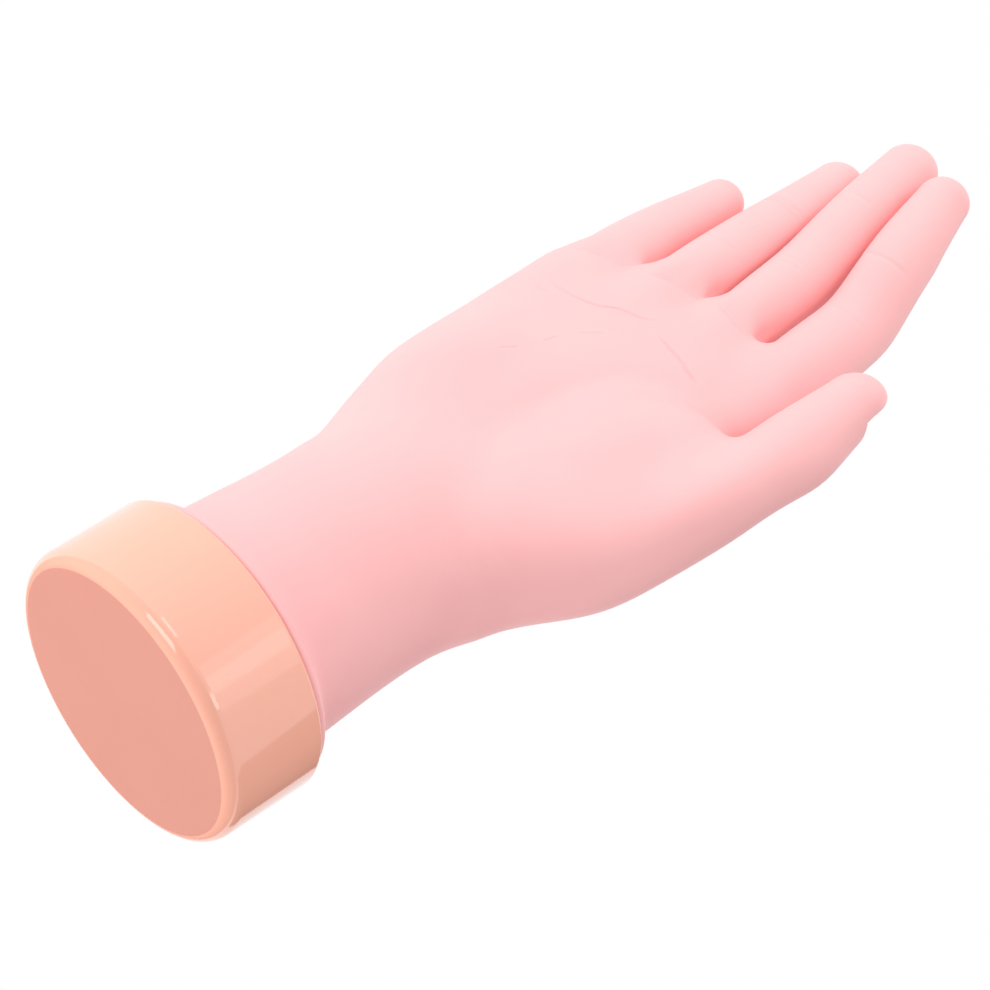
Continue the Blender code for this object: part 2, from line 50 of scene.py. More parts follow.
print("frame loaded:", len(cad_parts), "nodes")


def addObject(name, data):
    added = bpy.data.objects.new(name, data)
    scene.collection.objects.link(added)
    return added


def meshFrom(name, bm):
    mesh = bpy.data.meshes.new(name)
    bm.to_mesh(mesh)
    bm.free()
    return mesh


def hideFrom(shown, *kinds):  # kinds of rays that don't meet it
    for kind in kinds:
        setattr(shown, f"visible_{kind}", False)


# Camera: below the base, on the palm's and the thumb's side, as in the photo
cameraLook = {
    "place": (0.4606, -0.5987, -0.3177),
    "right": (0.67415, 0.0, 0.73859),
    "up": (-0.51512, -0.71665, 0.47017),
    "back": (0.52931, -0.69743, -0.48313),
    "lens": 145.4545,
    "sensor": 36.0,
    "clip": (0.01, 60.0),
}


def setCamera(look):
    data = bpy.data.cameras.new("photoCamera")
    data.lens = look["lens"]
    data.sensor_width = look["sensor"]
    data.clip_start, data.clip_end = look["clip"]
    camera = addObject("photoCamera", data)
    turn = Matrix((look["right"], look["up"], look["back"])).transposed().to_4x4()
    camera.matrix_world = Matrix.Translation(look["place"]) @ turn
    scene.camera = camera


setCamera(cameraLook)


def smoothCurve(x, xs, ys):  # a curve through a table's points, read at every x
    xs, ys = np.asarray(xs, float), np.asarray(ys, float)
    slope = np.gradient(ys, xs)
    i = np.clip(np.searchsorted(xs, x) - 1, 0, len(xs) - 2)
    span = xs[i + 1] - xs[i]
    t = np.clip((x - xs[i]) / span, 0, 1)
    return ((2 * t**3 - 3 * t**2 + 1) * ys[i] + (t**3 - 2 * t**2 + t) * span * slope[i]
            + (3 * t**2 - 2 * t**3) * ys[i + 1] + (t**3 - t**2) * span * slope[i + 1])


def ease(t):
    t = np.clip(t, 0, 1)
    return t * t * (3 - 2 * t)


def softMin(a, b, reach):
    h = np.clip(0.5 + 0.5 * (b - a) / reach, 0, 1)
    return b * (1 - h) + a * h - reach * h * (1 - h)


def softMax(a, b, reach):
    return -softMin(-a, -b, reach)


# Digits. lean and bend are the angles of each bone from upright, sideways and towards the palm, and
# seams are where the skin's pieces meet, as distances along the digit from its start.
# bands are the stretches of skin round the knuckles, one for each knuckle.
digitLook = {
    "index": {
        "x": 23.0, "front": -1.0, "z": 170.8, "lean": (-4.8, -12.6, -12.8), "bend": (2.3, 22.8, 11.8),
        "bones": (23.1, 20.9, 16.3), "round": 8.8, "sides": (1.04, 0.97, 0.88, 0.715),
        "backs": (0.92, 0.92, 0.83, 0.59),
        "seams": (6.9, 18.5, 35.5), "bands": ((7.1, 17.8), (19.4, 33.5), (36.8, 52.0)),
    },
    "middle": {
        "x": 4.1, "front": 0.4, "z": 172.8, "lean": (-4.7, -6.6, -4.8), "bend": (2.0, 13.0, 10.0),
        "bones": (23.8, 22.0, 15.6), "round": 8.7, "sides": (0.86, 0.94, 0.89, 0.8),
        "seams": (4.6, 16.0, 35.5), "bands": ((4.8, 15.3), (16.8, 32.0), (37.0, 54.0)),
    },
    "ring": {
        "x": -12.7, "front": 1.9, "z": 171.8, "lean": (-4.3, -1.5, -2.5), "bend": (-2.0, -2.8, 1.2),
        "bones": (21.2, 19.2, 12.4), "round": 8.3, "sides": (0.97, 0.94, 0.88, 0.79),
        "seams": (5.5, 16.0, 31.0), "bands": ((5.7, 15.4), (16.6, 29.5), (31.6, 47.4)),
    },
    "little": {
        "x": -30.1, "front": 1.6, "z": 167.0, "lean": (-3.9, 1.2, 1.2), "bend": (-1.3, -5.8, -2.0),
        "bones": (13.5, 11.8, 9.0), "round": 7.5, "sides": (1.13, 0.97, 0.86, 0.765),
        "seams": (5.0, 11.6, 20.5), "bands": ((5.1, 11.4), (11.8, 20.3), (20.7, 29.2)),
    },
    "thumb": {
        "x": 20.0, "front": -1.0, "z": 79.0, "lean": (38.0, 17.6, 8.6, 9.5, 0.7),
        "bend": (3.3, 13.6, 6.2, 7.0, 8.6),
        "bones": (25.7, 25.0, 12.8, 12.6, 16.3), "round": 13.0, "turn": 53.0,
        "seams": (60.0, 74.5), "bands": ((60.2, 71.3), (77.1, 85.4)),
        "seamWays": ((0.62, -0.1, 0.78), (0.37, -0.1, 0.92)),
        "sides": (0.91, 1.0, 1.06, 0.92, 0.79, 0.7), "pads": (0.8, 0.81, 0.73, 0.67, 0.7, 0.58),
        "backs": (0.84, 0.83, 0.75, 0.68, 0.65, 0.46), "nail": 1.3, "nailDepth": 2.0,
    },
}
# Half sizes of a finger at its root, middle joint, last joint and tip, as shares of its round
fingerShares = {
    "sides": (1.0, 0.94, 0.86, 0.765),
    "pads": (0.99, 0.89, 0.8, 0.71),
    "backs": (0.92, 0.87, 0.77, 0.61),
}
# A digit's line: the length between its points, how far its bends are rounded, how far a finger starts
# before its root and at what share of its size, and the room round it where it is looked for
digitLine = {"step": 0.5, "softness": 11.0, "before": 22.0, "startShare": 0.8, "room": 13.0}
nailLook = {
    "lengthShare": 1.55,  # of the half width at the tip
    "depth": 1.2,
    "halfAngle": 52.0,
    "undercut": 0.9,  # how far the pocket goes in under the fold
    "sideSlope": 1.8,  # width of the bed's sloping sides
    "rim": 0.3,  # share of the depth at the very side, lost over rimRun of the tip's dome
    "rimRun": 0.4,
    "tipFrom": 0.3,  # where the bed starts to rise towards the tip, and over how long, as shares of its dome
    "tipRun": 0.65,
    "foldCurve": 1.6,
    "soft": 0.3,
    "before": 6.0,  # how far before the fold, and how far towards the pad, a bed can reach
    "padSide": 3.0,
}


class Digit:
    # the centreline and the sizes of one digit, by the distance s along it from its start
    def __init__(self, name, look):
        self.name, self.look = name, look
        isThumb = name == "thumb"
        before = 0.0 if isThumb else digitLine["before"]
        step, softness = digitLine["step"], digitLine["softness"]
        lean, bend = np.radians(look["lean"]), np.radians(look["bend"])
        runs = np.stack([np.sin(lean) * np.cos(bend), -np.sin(bend), np.cos(lean) * np.cos(bend)], 1)
        points = [np.array([look["x"], -look["front"], look["z"]]) - runs[0] * before]
        for i, bone in enumerate(look["bones"]):
            length = bone + (before if i == 0 else 0)
            count = max(2, round(length / step))
            for _ in range(count):
                points.append(points[-1] + runs[i] * length / count)
        points = np.array(points)
        wide = round(softness / step)
        lead = np.arange(wide, 0, -1)[:, None]
        longer = np.concatenate([
            points[0] + (points[0] - points[1]) * lead,
            points,
            points[-1] + (points[-1] - points[-2]) * lead[::-1],
        ])
        weights = np.hanning(2 * wide + 3)[1:-1]
        weights /= weights.sum()
        self.line = np.stack([np.convolve(longer[:, k], weights, "valid") for k in range(3)], 1)
        steps = np.linalg.norm(np.diff(self.line, axis=0), axis=1)
        self.arc = np.concatenate([[0], np.cumsum(steps)]) - before
        self.first, self.last = self.arc[0], self.arc[-1]
        knots = [0, *np.cumsum(look["bones"])]
        shares = [look.get(key, fingerShares[key]) for key in ("sides", "pads", "backs")]
        self.table = [np.array(share) * look["round"] for share in shares]
        if before:
            knots = [self.first, *knots]
            self.table = [np.array([size[0] * digitLine["startShare"], *size]) for size in self.table]
        self.knots = knots
        turn = math.radians(look.get("turn", 0.0))
        flat = np.array([math.cos(turn), -math.sin(turn), 0.0])
        self.way = np.gradient(self.line, axis=0)
        self.way /= np.linalg.norm(self.way, axis=1)[:, None]
        self.across = flat - self.way * (self.way @ flat)[:, None]
        self.across /= np.linalg.norm(self.across, axis=1)[:, None]
        self.pad = np.cross(self.across, self.way)
        self.end = self.last + self.reach()
        self.fold = self.end - self.half(self.last)[0] * look.get("nail", nailLook["lengthShare"])
        room = look["round"] + digitLine["room"]
        self.low, self.high = self.line.min(0) - room, self.line.max(0) + room

    def inRoom(self, points):
        return ((points > self.low) & (points < self.high)).all(1)

    def half(self, s):  # half the width, then half the depth on the pad's side and on the back
        return [smoothCurve(s, self.knots, size) for size in self.table]

    def reach(self):
        side, front, back = self.half(self.last)
        return (2 * side + front + back) / 4

    def at(self, s):
        return np.array([np.interp(s, self.arc, self.line[:, k]) for k in range(3)])

    def wayAt(self, s):
        return self.way[int(np.clip(np.searchsorted(self.arc, s), 0, len(self.arc) - 1))]

    def place(self, points):  # s, across, pad and how far past an end, for each point
        nearest = np.empty(len(points), int)
        line = self.line.astype(np.float32)
        square = (line**2).sum(1)
        block = 100000
        for start in range(0, len(points), block):
            some = points[start:start + block].astype(np.float32)
            nearest[start:start + block] = np.argmin(square[None] - 2 * some @ line.T, axis=1)
        away = points - self.line[nearest]
        along = (away * self.way[nearest]).sum(1)
        step = self.arc[1] - self.arc[0]
        part = np.clip(along / step, -0.5, 0.5)
        s = np.clip(self.arc[nearest] + part * step, self.first, self.last)
        away = points - self.line[nearest] - self.way[nearest] * (part * step)[:, None]
        return (s, (away * self.across[nearest]).sum(1), (away * self.pad[nearest]).sum(1),
                (away * self.way[nearest]).sum(1))

    def value(self, points):  # below zero inside the skin, and about the distance to it
        s, across, pad, past = self.place(points)
        side, front, back = self.half(s)
        depth = np.where(pad > 0, front, back)
        end = self.reach()
        q = np.sqrt((across / side)**2 + (pad / depth)**2 + (past / end)**2)
        slope = np.sqrt((across / side**2)**2 + (pad / depth**2)**2 + (past / end**2)**2)
        value = (q - 1) * q / np.maximum(slope, 1e-4)
        look = nailLook
        angle = np.arctan2(np.abs(across) / side, -pad / back)
        widest = math.radians(look["halfAngle"])
        most = self.look.get("nailDepth", look["depth"])
        inward = (widest - angle) * np.hypot(across, pad)
        rim = look["rim"] * (1 - ease(past / end / look["rimRun"]))
        fade = 1 - ease((past / end - look["tipFrom"]) / look["tipRun"])
        deep = value + most * fade * ease(inward / look["sideSlope"] + rim)
        under = look["undercut"] * ease(-value / most)
        fold = self.fold + look["foldCurve"] * (angle / widest)**2
        bed = np.minimum(deep, np.minimum(s + np.maximum(past, 0) - fold + under, inward))
        near = (s > self.fold - look["before"]) & (pad < look["padSide"])
        return np.where(near, softMax(value, bed, look["soft"]), value)


digits = {name: Digit(name, look) for name, look in digitLook.items()}
fingerNames = ("little", "ring", "middle", "index")

# Wrist and palm. Each row is a height, the middle in x and y, half the width, half the depth on the
# palm's side and on the back, and the power that squares the outline
palmLook = {
    "rows": (
        (20, 0.0, 0.0, 27.5, 27.5, 27.5, 2.0),
        (30, 0.0, 0.0, 27.9, 27.9, 27.9, 2.0),
        (36, 0.0, 0.0, 27.4, 27.4, 27.4, 2.0),
        (42, 0.0, 0.0, 27.0, 27.0, 27.0, 2.0),
        (50, 0.1, 0.0, 26.5, 26.4, 26.4, 2.0),
        (58, 0.2, 0.0, 26.5, 25.7, 25.6, 2.0),
        (68, 0.4, 0.0, 27.1, 24.4, 24.6, 2.05),
        (78, 0.9, 0.0, 27.3, 22.6, 23.0, 2.1),
        (90, -0.2, 0.5, 29.7, 20.4, 20.6, 2.15),
        (102, -2.8, 0.5, 34.2, 18.0, 18.0, 2.2),
        (116, -4.1, 0.5, 36.3, 16.0, 16.0, 2.3),
        (130, -4.3, 0.0, 36.7, 14.4, 14.4, 2.3),
        (146, -4.9, 0.0, 37.1, 12.6, 12.4, 2.25),
        (158, -5.2, 0.0, 37.5, 10.2, 10.5, 2.25),
        (168, -5.3, 0.0, 36.6, 7.2, 9.4, 2.3),
        (180, -4.0, 0.0, 34.0, 4.5, 8.6, 2.4),
    ),
    # the edge between the fingers, as places across and heights, and how it slants from front to back
    "webs": ((-45, 156.0), (-24.3, 164.6), (-5.3, 168.6), (12.2, 167.8), (32, 158.0), (45, 146.0)),
    "webSlope": 0.3,
    "webFront": 3.0,
    "webInset": 1.5,
    # how softly the forms run into each other, in millimetres
    "endSoft": 4.0,
    "ballSoft": 8.0,
    "thumbSoft": ((78, 11.0), (92, 14.5), (106, 10.5), (120, 7.5), (132, 6.0), (146, 3.0)),  # by height
    "fingerSoft": 5.0,
    "fingerGap": 0.9,
    "gapSoft": 0.6,
}
# Balls of flesh: middle, half sizes across, deep and along, and the way that each lies
fleshLook = {
    "thumbBall": {"middle": (22.0, -7.7, 107), "half": (17.5, 12.2, 31), "way": (0.2, -0.02, 0.98)},
    "webBall": {"middle": (32.9, -10.4, 127.2), "half": (9.0, 5.0, 8.5), "way": (0.45, -0.1, 0.88)},
    "heelBall": {"middle": (-21, -5, 100), "half": (12, 10.5, 28), "way": (-0.12, 0.0, 1.0)},
}


def palmValue(points):
    x, y, z = points.T
    rows = np.array(palmLook["rows"], float)
    midX, midY, wide, front, back, power = [smoothCurve(z, rows[:, 0], rows[:, k]) for k in range(1, 7)]
    deep = np.where(y < midY, front, back)
    a, b = np.abs(x - midX) / wide, np.abs(y - midY) / deep
    q = np.maximum((a**power + b**power)**(1 / power), 1e-3)
    slope = q**(1 - power) * np.sqrt((a**(power - 1) / wide)**2 + (b**(power - 1) / deep)**2)
    value = (q - 1) / np.maximum(slope, 1e-3)
    webs = np.array(palmLook["webs"], float)
    top = smoothCurve(x, webs[:, 0], webs[:, 1]) - palmLook["webSlope"] * (palmLook["webFront"] + y)
    end = (z - top) / math.hypot(1, palmLook["webSlope"]) - palmLook["webInset"]
    return softMax(value, end, palmLook["endSoft"])


def ballValue(points, look):
    way = np.array(look["way"], float)
    way /= np.linalg.norm(way)
    side = np.cross((0, 1, 0), way)
    side /= np.linalg.norm(side)
    axes = np.stack([side, np.cross(way, side), way])
    half = np.array(look["half"], float)
    local = (points - np.array(look["middle"], float)) @ axes.T
    q = np.sqrt(((local / half)**2).sum(1))
    return (q - 1) * q / np.maximum(np.sqrt(((local / half**2)**2).sum(1)), 1e-3)


def digitValue(digit, points, far=60.0):
    value = np.full(len(points), far)
    near = digit.inRoom(points)
    if near.any():
        value[near] = digit.value(points[near])
    return value


def fingerValues(points):  # the four fingers, each held off its neighbours by a thin gap
    values = [digitValue(digits[name], points) for name in fingerNames]
    apart = list(values)
    for i in range(len(values) - 1):
        a, b = values[i], values[i + 1]
        share = (a - b) / 2
        apart[i] = softMax(apart[i], share + palmLook["fingerGap"] / 2, palmLook["gapSoft"])
        apart[i + 1] = softMax(apart[i + 1], -share + palmLook["fingerGap"] / 2, palmLook["gapSoft"])
    return apart


def restValue(points):  # the hand without its thumb
    value = palmValue(points)
    for look in fleshLook.values():
        value = softMin(value, ballValue(points, look), palmLook["ballSoft"])
    return value


def handValue(points):
    heights, soft = zip(*palmLook["thumbSoft"])
    reach = np.maximum(smoothCurve(points[:, 2], heights, soft), 1)
    value = softMin(restValue(points), digitValue(digits["thumb"], points), reach)
    return softMin(value, np.minimum.reduce(fingerValues(points)), palmLook["fingerSoft"])


# The skin is laid over the hand's shape on a grid, and then drawn onto the shape itself
meshLook = {
    "step": 0.6,
    "coarse": 4,
    "low": (-44.0, -34.0, 33.0),
    "high": (60.0, 34.0, 243.0),
    "near": (1.4, 0.6),  # blocks this near the skin are worked out finely: a share of their size, and more
    "deep": 3.0,  # the grid's values stop at this distance
    "block": 300000,  # cells worked out at once
    "wristCut": 40.0,
    "rounds": 3,
    "fine": ((0.004, True), (0.03, False)),  # each halving: at folds this deep, and at nail beds too or not
    "stray": 0.35,
    "ownReach": 3.0,  # skin this near a finger is the finger's, unless the thumb is nearer
    "seamNear": 1.6,
    "seamReach": 2.2,  # how far round a seam's middle the skin is cut, as a share of the digit's round
}


def skinGrid(look):
    step, coarse = look["step"], look["coarse"]
    low = np.array(look["low"])
    counts = [math.ceil((b - a) / (step * coarse)) for a, b in zip(look["low"], look["high"])]
    middles = [low[k] + (np.arange(counts[k]) * coarse + (coarse - 1) / 2) * step for k in range(3)]
    blocks = np.stack(np.meshgrid(*middles, indexing="ij"), -1).reshape(-1, 3)
    rough = handValue(blocks).reshape(counts)
    near = np.abs(rough) < step * coarse * look["near"][0] + look["near"][1]
    deep = look["deep"]
    values = np.where(rough > 0, deep, -deep).astype(np.float32)
    for axis in range(3):
        values, near = np.repeat(values, coarse, axis), np.repeat(near, coarse, axis)
    cells = np.stack(np.nonzero(near), 1)
    for start in range(0, len(cells), look["block"]):
        some = cells[start:start + look["block"]]
        values[tuple(some.T)] = np.clip(handValue(low + some * step), -deep, deep)
    grid = openvdb.FloatGrid(background=deep)
    grid.copyFromArray(values)
    points, _, quads = grid.convertToPolygons(isovalue=0.0, adaptivity=0.0)
    print("grid of", len(cells), "cells gives", len(points), "points and", len(quads), "quads")
    return points.astype(float) * step + low, quads


def slopeOf(points, value, probe=0.03):
    return np.stack([(handValue(points + np.eye(3)[k] * probe) - value) / probe for k in range(3)], 1)


def settle(points):  # a step onto the hand's shape
    value = handValue(points)
    slope = slopeOf(points, value)
    size = np.maximum((slope**2).sum(1), 0.05)
    return points - slope * (np.clip(value, -1, 1) / size)[:, None]


def evenOut(points, quads, rounds):  # evens the grid's points along the surface
    pairs = np.concatenate([quads[:, [i, (i + 1) % 4]] for i in range(4)])
    a, b = np.concatenate([pairs[:, 0], pairs[:, 1]]), np.concatenate([pairs[:, 1], pairs[:, 0]])
    count = np.maximum(np.bincount(a, minlength=len(points)), 1)
    for _ in range(rounds):
        mean = np.stack([np.bincount(a, points[b, k], len(points)) for k in range(3)], 1) / count[:, None]
        points = settle((points + mean) / 2)
    return points


# Folds pressed into the skin. A line on the palm has a depth, a half width and its points in x and z. A
# digit's fold has its place along the digit, how far it slants, how far it reaches across as a share
# of the half width, its depth and its half width.
foldLook = {
    "palm": (
        (0.3, 0.33, ((-27.7, 144.9), (-23.0, 144.2), (-17.9, 144.3), (-13.5, 145.5), (-9.6, 148.3),
                     (-3.8, 150.7), (-0.5, 153.6))),
        (0.34, 0.36, ((1.5, 149.4), (6.7, 148.1), (11.1, 147.4), (14.9, 146.1), (19.0, 145.4))),
        (0.2, 0.35, ((-28.7, 141.0), (-24.6, 141.2))),
        (0.18, 0.35, ((-15.5, 117.7), (-13.1, 122.0))),
        (0.2, 0.35, ((-11.3, 127.2), (-10.5, 131.5))),
        (0.15, 0.35, ((-8.8, 134.7), (-4.6, 140.1))),
        (0.12, 0.5, ((-8.8, 76.2), (-2.0, 75.6), (4.0, 76.6))),
    ),
    "lineRoom": 4.0,
    "lineFade": 0.18,  # share of a line over which it fades at either end, and what is left there
    "lineLeft": 0.15,
    "digits": {
        "index": ((37.6, -0.6, 0.85, 0.16, 0.5), (18.6, -0.4, 0.8, 0.12, 0.6)),
        "middle": ((17.6, 0.5, 0.5, 0.12, 0.5), (19.4, 0.3, 0.5, 0.1, 0.5), (44.6, -0.4, 0.6, 0.14, 0.5)),
        "ring": ((12.4, 0.3, 0.7, 0.14, 0.45), (14.0, 0.2, 0.6, 0.1, 0.45), (32.6, 0.1, 0.8, 0.22, 0.4),
                 (34.4, 0.3, 0.8, 0.2, 0.4)),
        "little": ((12.5, 0.2, 0.6, 0.1, 0.5), (21.5, 0.2, 0.6, 0.1, 0.5)),
        "thumb": ((78.5, 0.3, 0.7, 0.12, 0.5),),
    },
    "sideFade": 0.35,  # share of the half width over which a fold fades at its ends
    "slantShare": 0.2,
    "bow": 0.5,
    # wrinkles over the back of a digit's knuckles: place, depth and half width
    "knuckles": ((0.0, 0.16, 0.5), (-1.8, 0.11, 0.5), (1.7, 0.1, 0.5)),
    "knuckleReach": 0.55,
    "knuckleBow": 0.6,
    "thumbShare": 0.4,
    # where a finger's root dips behind the palm's pad: sharp on the palm's side, fading along the finger
    "roots": {
        "little": {"s": -7.0, "slant": 2.3, "from": -0.8, "to": 0.2, "depth": 1.6},
        "ring": {"s": -7.0, "slant": 2.2, "from": -0.6, "to": 0.2, "depth": 1.7},
        "middle": {"s": -4.2, "slant": -1.0, "from": -0.7, "to": 0.2, "depth": 1.2},
    },
    "rootFall": 8.0,
    "rootEdge": 0.8,
    "rootNear": 2.5,  # how close to the finger's own surface a root's dip is looked for
    "rootPad": 3.0,
    "rootOuter": (1.15, 0.4),  # share of the half width where a dip ends on the outer side, and its fade
    "rootFine": (2.0, 0.04),  # the mesh is halved this close to the edge, where the dip is this strong
}


def lineDistance(points, line):  # distance to a line of points in the plane, and how far along it, 0 to 1
    best, along = np.full(len(points), 1e9), np.zeros(len(points))
    line = np.array(line, float)
    lengths = np.linalg.norm(np.diff(line, axis=0), axis=1)
    before = np.concatenate([[0], np.cumsum(lengths)])
    for i, length in enumerate(lengths):
        a, way = line[i], (line[i + 1] - line[i]) / length
        t = np.clip((points - a) @ way, 0, length)
        gap = np.linalg.norm(points - a - t[:, None] * way, axis=1)
        nearer = gap < best
        best[nearer], along[nearer] = gap[nearer], ((before[i] + t) / before[-1])[nearer]
    return best, along


def softLine(line, step=1.0):  # a line's points joined by a smooth curve
    line = np.array(line, float)
    knots = np.concatenate([[0], np.cumsum(np.linalg.norm(np.diff(line, axis=0), axis=1))])
    along = np.linspace(0, knots[-1], max(3, round(knots[-1] / step)))
    return np.stack([smoothCurve(along, knots, line[:, k]) for k in range(2)], 1)


def foldDepth(gap, width, depth):  # a soft groove with slightly raised banks
    bank = np.exp(-((gap - 2.2 * width) / (1.1 * width))**2)
    return -depth * np.exp(-(gap / width)**2) + 0.1 * depth * bank


def rootDip(points):  # how far each point is pressed in behind the palm's pads, and where the edge is near
    height, edge = np.zeros(len(points)), np.zeros(len(points), bool)
    (outer, outerFade), (edgeWidth, least) = foldLook["rootOuter"], foldLook["rootFine"]
    for name, look in foldLook["roots"].items():
        digit = digits[name]
        near = digit.inRoom(points) & (points[:, 1] < 0)
        near[near] = digitValue(digit, points[near]) < foldLook["rootNear"]
        s, across, pad, _ = digit.place(points[near])
        share = across / digit.half(s)[0]
        past = s - look["s"] - look["slant"] * share
        side = ease((share - look["from"]) / (look["to"] - look["from"])) * ease(pad / foldLook["rootPad"])
        side *= 1 - ease((share - outer) / outerFade)
        fade = np.exp(-(past / np.where(past < 0, foldLook["rootEdge"], foldLook["rootFall"]))**2)
        height[near] -= look["depth"] * side * fade
        edge[near] |= (np.abs(past) < edgeWidth) & (side > least)
    return height, edge


def towardsPalm(facing):  # 1 where the skin faces the palm's side, and 0 on the back
    return ease((-facing[:, 1] - 0.15) / 0.5)


def closeTo(digit, points, gap=1.5):
    return digit.inRoom(points) & (digitValue(digit, points) < gap)


def backKnuckles(digit):
    return digit.knots[-2:-1] if digit.name == "thumb" else digit.knots[2:4]


def foldHeight(points, facing):  # how far the folds lower each point, in millimetres
    look = foldLook
    height = np.zeros(len(points))
    flat = points[:, [0, 2]]
    palmSide = towardsPalm(facing)
    for depth, width, line in look["palm"]:
        line = softLine(line)
        low, high = line.min(0) - look["lineRoom"], line.max(0) + look["lineRoom"]
        near = ((flat > low) & (flat < high)).all(1) & (palmSide > 0)
        gap, along = lineDistance(flat[near], line)
        fade = np.minimum(ease(along / look["lineFade"]), ease((1 - along) / look["lineFade"]))
        fade = fade * (1 - look["lineLeft"]) + look["lineLeft"]
        height[near] += foldDepth(gap, width, depth) * fade * palmSide[near]
    for name, digit in digits.items():
        near = closeTo(digit, points)
        s, across, pad, _ = digit.place(points[near])
        side, front, back = digit.half(s)
        share = across / side
        rise = np.zeros(len(s))
        for at, slant, reach, depth, width in look["digits"][name]:
            gap = np.abs(s - at - slant * across * look["slantShare"] + look["bow"] * share**2)
            fade = ease((reach - np.abs(share)) / look["sideFade"]) * ease(pad / front * 2.5)
            rise += foldDepth(gap, width, depth) * fade
        strength = look["thumbShare"] if name == "thumb" else 1
        for knot in backKnuckles(digit):
            for at, depth, width in look["knuckles"]:
                bow = at * (1 - look["knuckleBow"] * share**2)
                fade = ease((look["knuckleReach"] - np.abs(share)) / look["sideFade"])
                fade *= ease(-pad / back * 2 - 0.4) * strength
                rise += foldDepth(np.abs(s - knot - bow), width, depth) * fade
        height[near] += rise
    return height


# The soft valley round the ball of the thumb, as a line in x and z, and how it fades at its two ends
arcLook = {
    "line": ((30, 146.5), (24, 142), (16, 138), (8.5, 133.5), (4.8, 125), (4.4, 110), (7.2, 99), (12.5, 90),
             (17.5, 83), (24, 78)),
    "depth": 1.2,
    "width": 5.2,
    "fades": (0.45, 0.3),
}
# Broad swells and hollows: middle, half sizes and rise
palmRelief = (
    ((0, -16, 104), (11, 30, 20), -1.4),
    ((0, -22, 73), (17, 30, 6.5), 0.7),
)
backRelief = (
    ((24, 9, 158), (6, 20, 8), 0.9),
    ((4, 9, 160), (6, 20, 8), 1.0),
    ((-14, 9, 159), (6, 20, 8), 0.9),
    ((-30, 9, 154), (6, 20, 8), 0.8),
)
knuckleLook = {"rise": 0.35, "half": 5.0}


def relief(points, facing):  # how far each point moves out along its normal, in millimetres
    height = foldHeight(points, facing) + rootDip(points)[0]
    palmSide = towardsPalm(facing)
    backSide = ease((facing[:, 1] - 0.1) / 0.4)
    for digit in digits.values():
        near = closeTo(digit, points)
        s, across, pad, _ = digit.place(points[near])
        back = digit.half(s)[2]
        for knot in backKnuckles(digit):
            swell = np.exp(-((s - knot) / knuckleLook["half"])**2)
            height[near] += knuckleLook["rise"] * swell * ease(-pad / back * 1.5)
    gap, along = lineDistance(points[:, [0, 2]], softLine(arcLook["line"]))
    fade = ease(along / arcLook["fades"][0]) * ease((1 - along) / arcLook["fades"][1])
    height -= arcLook["depth"] * np.exp(-(gap / arcLook["width"])**2) * fade * palmSide
    for rows, onSide in ((palmRelief, palmSide), (backRelief, backSide)):
        for middle, half, rise in rows:
            away = (points - np.array(middle, float)) / np.array(half, float)
            height += rise * np.exp(-(away**2).sum(1)) * onSide
    return height


points, quads = skinGrid(meshLook)
points = evenOut(points, quads, meshLook["rounds"])
print("skin drawn onto the hand's shape")


# The collar and the foot of the wrist, turned down from the cut across the wrist. Each row is a radius
# and a height; the first follows the wrist itself
collarLook = {
    "rows": (
        (27.3, 37.5), (27.45, 35.2), (27.6, 33.2), (27.8, 31.4), (28.1, 30.0), (28.6, 28.9), (29.3, 28.1),
        (30.2, 27.55), (31.1, 27.2), (31.8, 27.0), (32.2, 26.75), (32.45, 26.4), (32.6, 25.9), (32.6, 25.5),
        (32.5, 25.15), (32.2, 24.85), (31.7, 24.8), (29.0, 24.8), (24.0, 24.8), (23.4, 25.2), (23.4, 40.0),
    ),
}


def cutSkin(bm, plane, way, chosen, clearLower=False):
    geometry = set(chosen)
    for face in chosen:
        geometry.update(face.verts)
        geometry.update(face.edges)
    bmesh.ops.bisect_plane(bm, geom=list(geometry), dist=1e-4, plane_co=plane, plane_no=way,
                           clear_inner=clearLower, clear_outer=False)


def addCollar(bm, look, cutHeight):
    rim = [v for v in bm.verts if abs(v.co.z - cutHeight) < 1e-3 and v.is_boundary]
    rim.sort(key=lambda v: math.atan2(v.co.y, v.co.x))
    angles = [math.atan2(v.co.y, v.co.x) for v in rim]
    last = rim
    for radius, height in look["rows"]:
        ring = [bm.verts.new((radius * math.cos(a), radius * math.sin(a), height)) for a in angles]
        for i in range(len(ring)):
            j = (i + 1) % len(ring)
            bm.faces.new((last[i], ring[i], ring[j], last[j]))
        last = ring


def readSkin(bm):  # points, normals and face middles as arrays
    bm.normal_update()
    bm.verts.index_update()
    held = bpy.data.meshes.new("held")
    bm.to_mesh(held)
    points, facing = np.empty(len(held.vertices) * 3), np.empty(len(held.vertices) * 3)
    held.vertices.foreach_get("co", points)
    held.vertices.foreach_get("normal", facing)
    middles = np.empty(len(held.polygons) * 3)
    held.polygons.foreach_get("center", middles)
    corners = np.empty(len(held.loops), int)
    held.loops.foreach_get("vertex_index", corners)
    starts = np.empty(len(held.polygons), int)
    held.polygons.foreach_get("loop_start", starts)
    bpy.data.meshes.remove(held)
    return points.reshape(-1, 3), facing.reshape(-1, 3), middles.reshape(-1, 3), corners, starts


# Where the skin is fine round a nail bed: distances from its sides, its fold and the tip
edgeLook = {
    "side": 1.2, "before": 1.8, "fold": 2.6, "foldAngle": 0.15, "tip": 2.8, "padSide": 2.5, "skin": 0.8,
}


